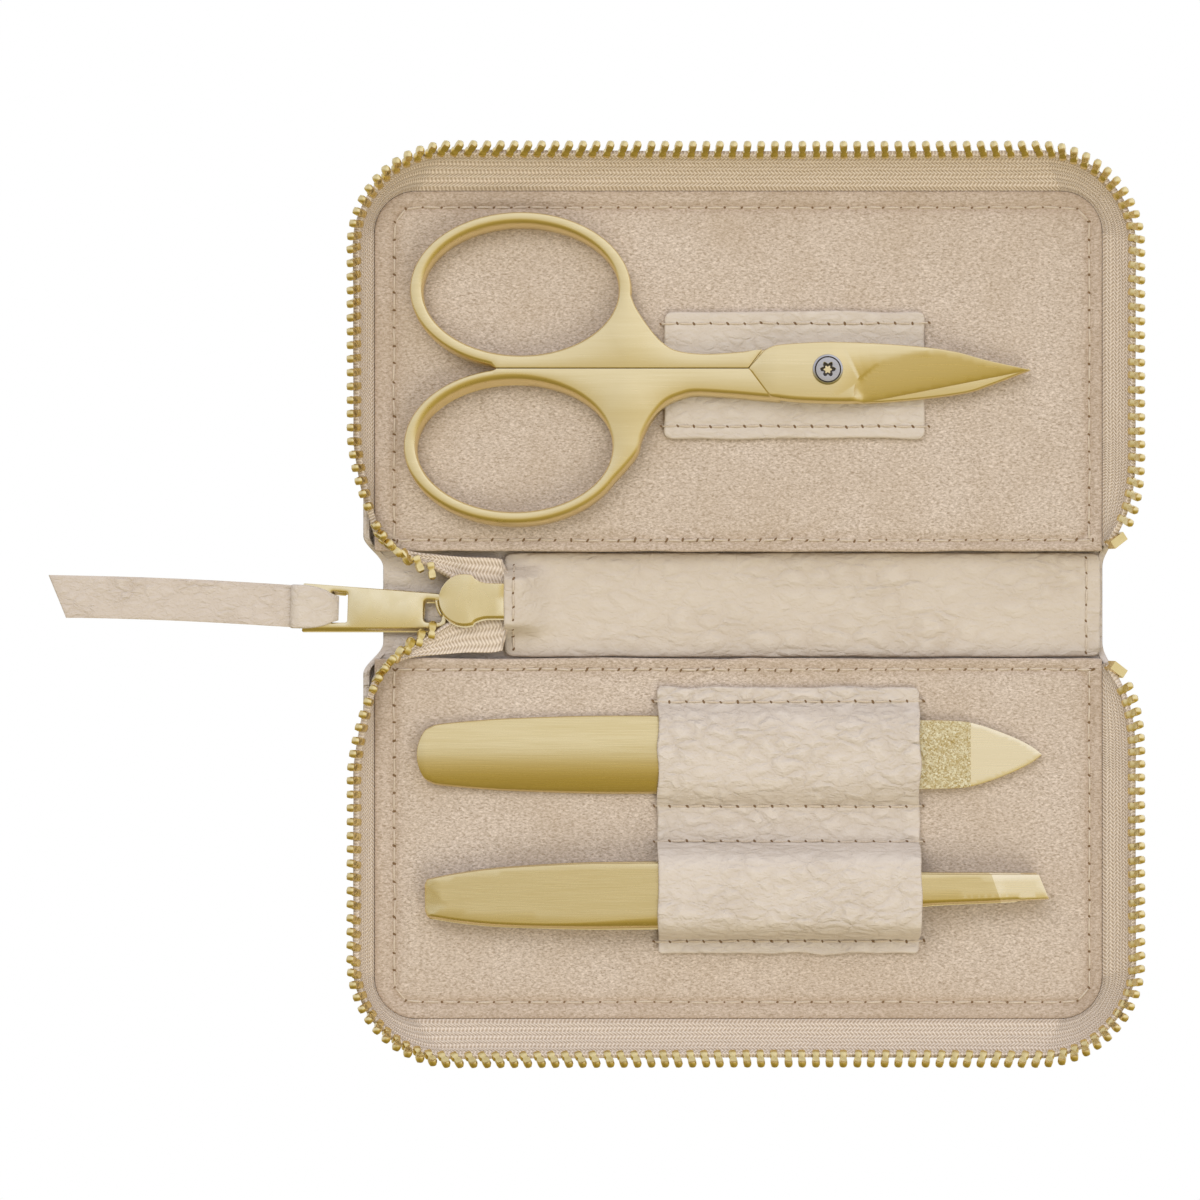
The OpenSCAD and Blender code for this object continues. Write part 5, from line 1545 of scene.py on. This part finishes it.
def makeTweezers():
    t = tools
    up = [(-44.9, 2.55), (-44.4, 2.75), (-40.2, 3.5), (-34, 4.15), (-24, 4.55), (-16, 4.55), (-9.2, 4.37),
          (10.8, 3.22), (25.8, 2.25), (36.4, 1.98)]
    side = curveThrough(up, 6)
    tip = t["armTip"]
    outline = np.concatenate([side, [(tip - 1.4, 1.79), (tip, -1.75)], side[::-1] * (1, -1)])
    rounded = roundCorners([(-45.2, 1.9), (-45.2, -1.9)], 0.01, 1)
    outline = dense(np.concatenate([outline, rounded[::-1]]), 0.55)
    inner = gridInside(outline, 1.0, 0.7, 0.5)
    below = outline[outline[:, 1] < 0]
    away = np.hypot(inner[:, :1] - below[None, :, 0], inner[:, 1:] - below[None, :, 1]).min(1)
    inner = inner[(away > 1.7) | (inner[:, 0] > 32)]
    thick = t["armThick"]

    # The facet by the tip is ground flat, past a slanted line; the joined end is rounded off
    def ground(x, y):
        past = np.clip((x - 36.4 - 0.35 * (1.8 - y)) / 0.5, 0, 1)
        rounding = 0.75 * (np.clip(-43.8 - x, 0, 1.4) / 1.4) ** 2
        return np.full(len(x), thick) - past * (0.07 + 0.03 * np.clip(x - 37, 0, 8) / 8) - rounding
    ease = np.where((outline[:, 0] > 40) | (outline[:, 0] < -44.6), 0.5, 1.0)
    # One edge is ground to a slope that widens towards the middle
    middle = smooth((outline[:, 0] + 30) / 24) * (1 - smooth((outline[:, 0] - 12) / 20))
    ease = ease + 1.4 * middle * (outline[:, 1] < 0)
    for name, node, body, sign in (("tweezers_upper", "tweezers_upper_arm", "tweezers_arm", 1),
                                   ("tweezers_lower", "tweezers_lower_arm", "tweezers", -1)):
        points, faces, flat = plate([(outline, ease)], 0, thick, 0.14, 0.5, 0.35, ground, inner, "smooth")
        bend = armOut(points[:, 0]) - thick
        if sign > 0:
            points[:, 2] += bend + 0.02
        else:
            points[:, 2] = -(points[:, 2] + bend) - 0.02
            faces = [f[::-1] for f in faces]
        obj = makeMetal(name, [(fromArm(points), faces, flat)], tweezersGold, 50)
        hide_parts(node)
        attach(obj, body)


# The screw: a shaft, and a domed head with a rim and a six-lobed socket
def makeScrew():
    s = scissors
    low, top, headTop = s["backLow"] - 0.03, s["frontHigh"], 8.16
    angle = np.radians(np.arange(0, 360, 5))
    lobes = 0.9 + 0.2 * np.cos(6 * angle)
    levels = [(1.2, low), (1.2, top + 0.01), (2.15, top + 0.01), (2.2, top + 0.12), (2.15, headTop - 0.14),
              (2.0, headTop - 0.04), (1.9, headTop - 0.02), (1.86, headTop - 0.16), (1.74, headTop - 0.16),
              (1.7, headTop), (1.4, headTop + 0.02), (lobes + 0.1, headTop + 0.02), (lobes, headTop - 0.05),
              (lobes, headTop - 0.42), (lobes * 0.4, headTop - 0.46)]
    flatRing = np.column_stack([np.cos(angle), np.sin(angle), np.zeros(len(angle))])
    rings = np.stack([flatRing * np.reshape(radius, (-1, 1)) + (0, 0, z) for radius, z in levels]) + (*s["pivot"], 0)

    # Painted shade: a dark grey on the faces of the ring groove round the head and of the socket, where shade falls
    def paintedShadeFaces(middles):
        away, z = np.hypot(*(middles[:, :2] - s["pivot"]).T), middles[:, 2]
        return (z < headTop - 0.075) & ((away < 1.95) & (z > top + 0.1) | (away < 1.15) & (z > top - 0.1))
    obj = makeMetal("screw", [tube(rings)], bolt, 35, (paintedScrewShade, paintedShadeFaces))
    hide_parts("pivot_screw")
    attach(obj, "scissors_front_half")


makeFile()
makeTweezers()
makeScrew()
print("file, tweezers and screw made")
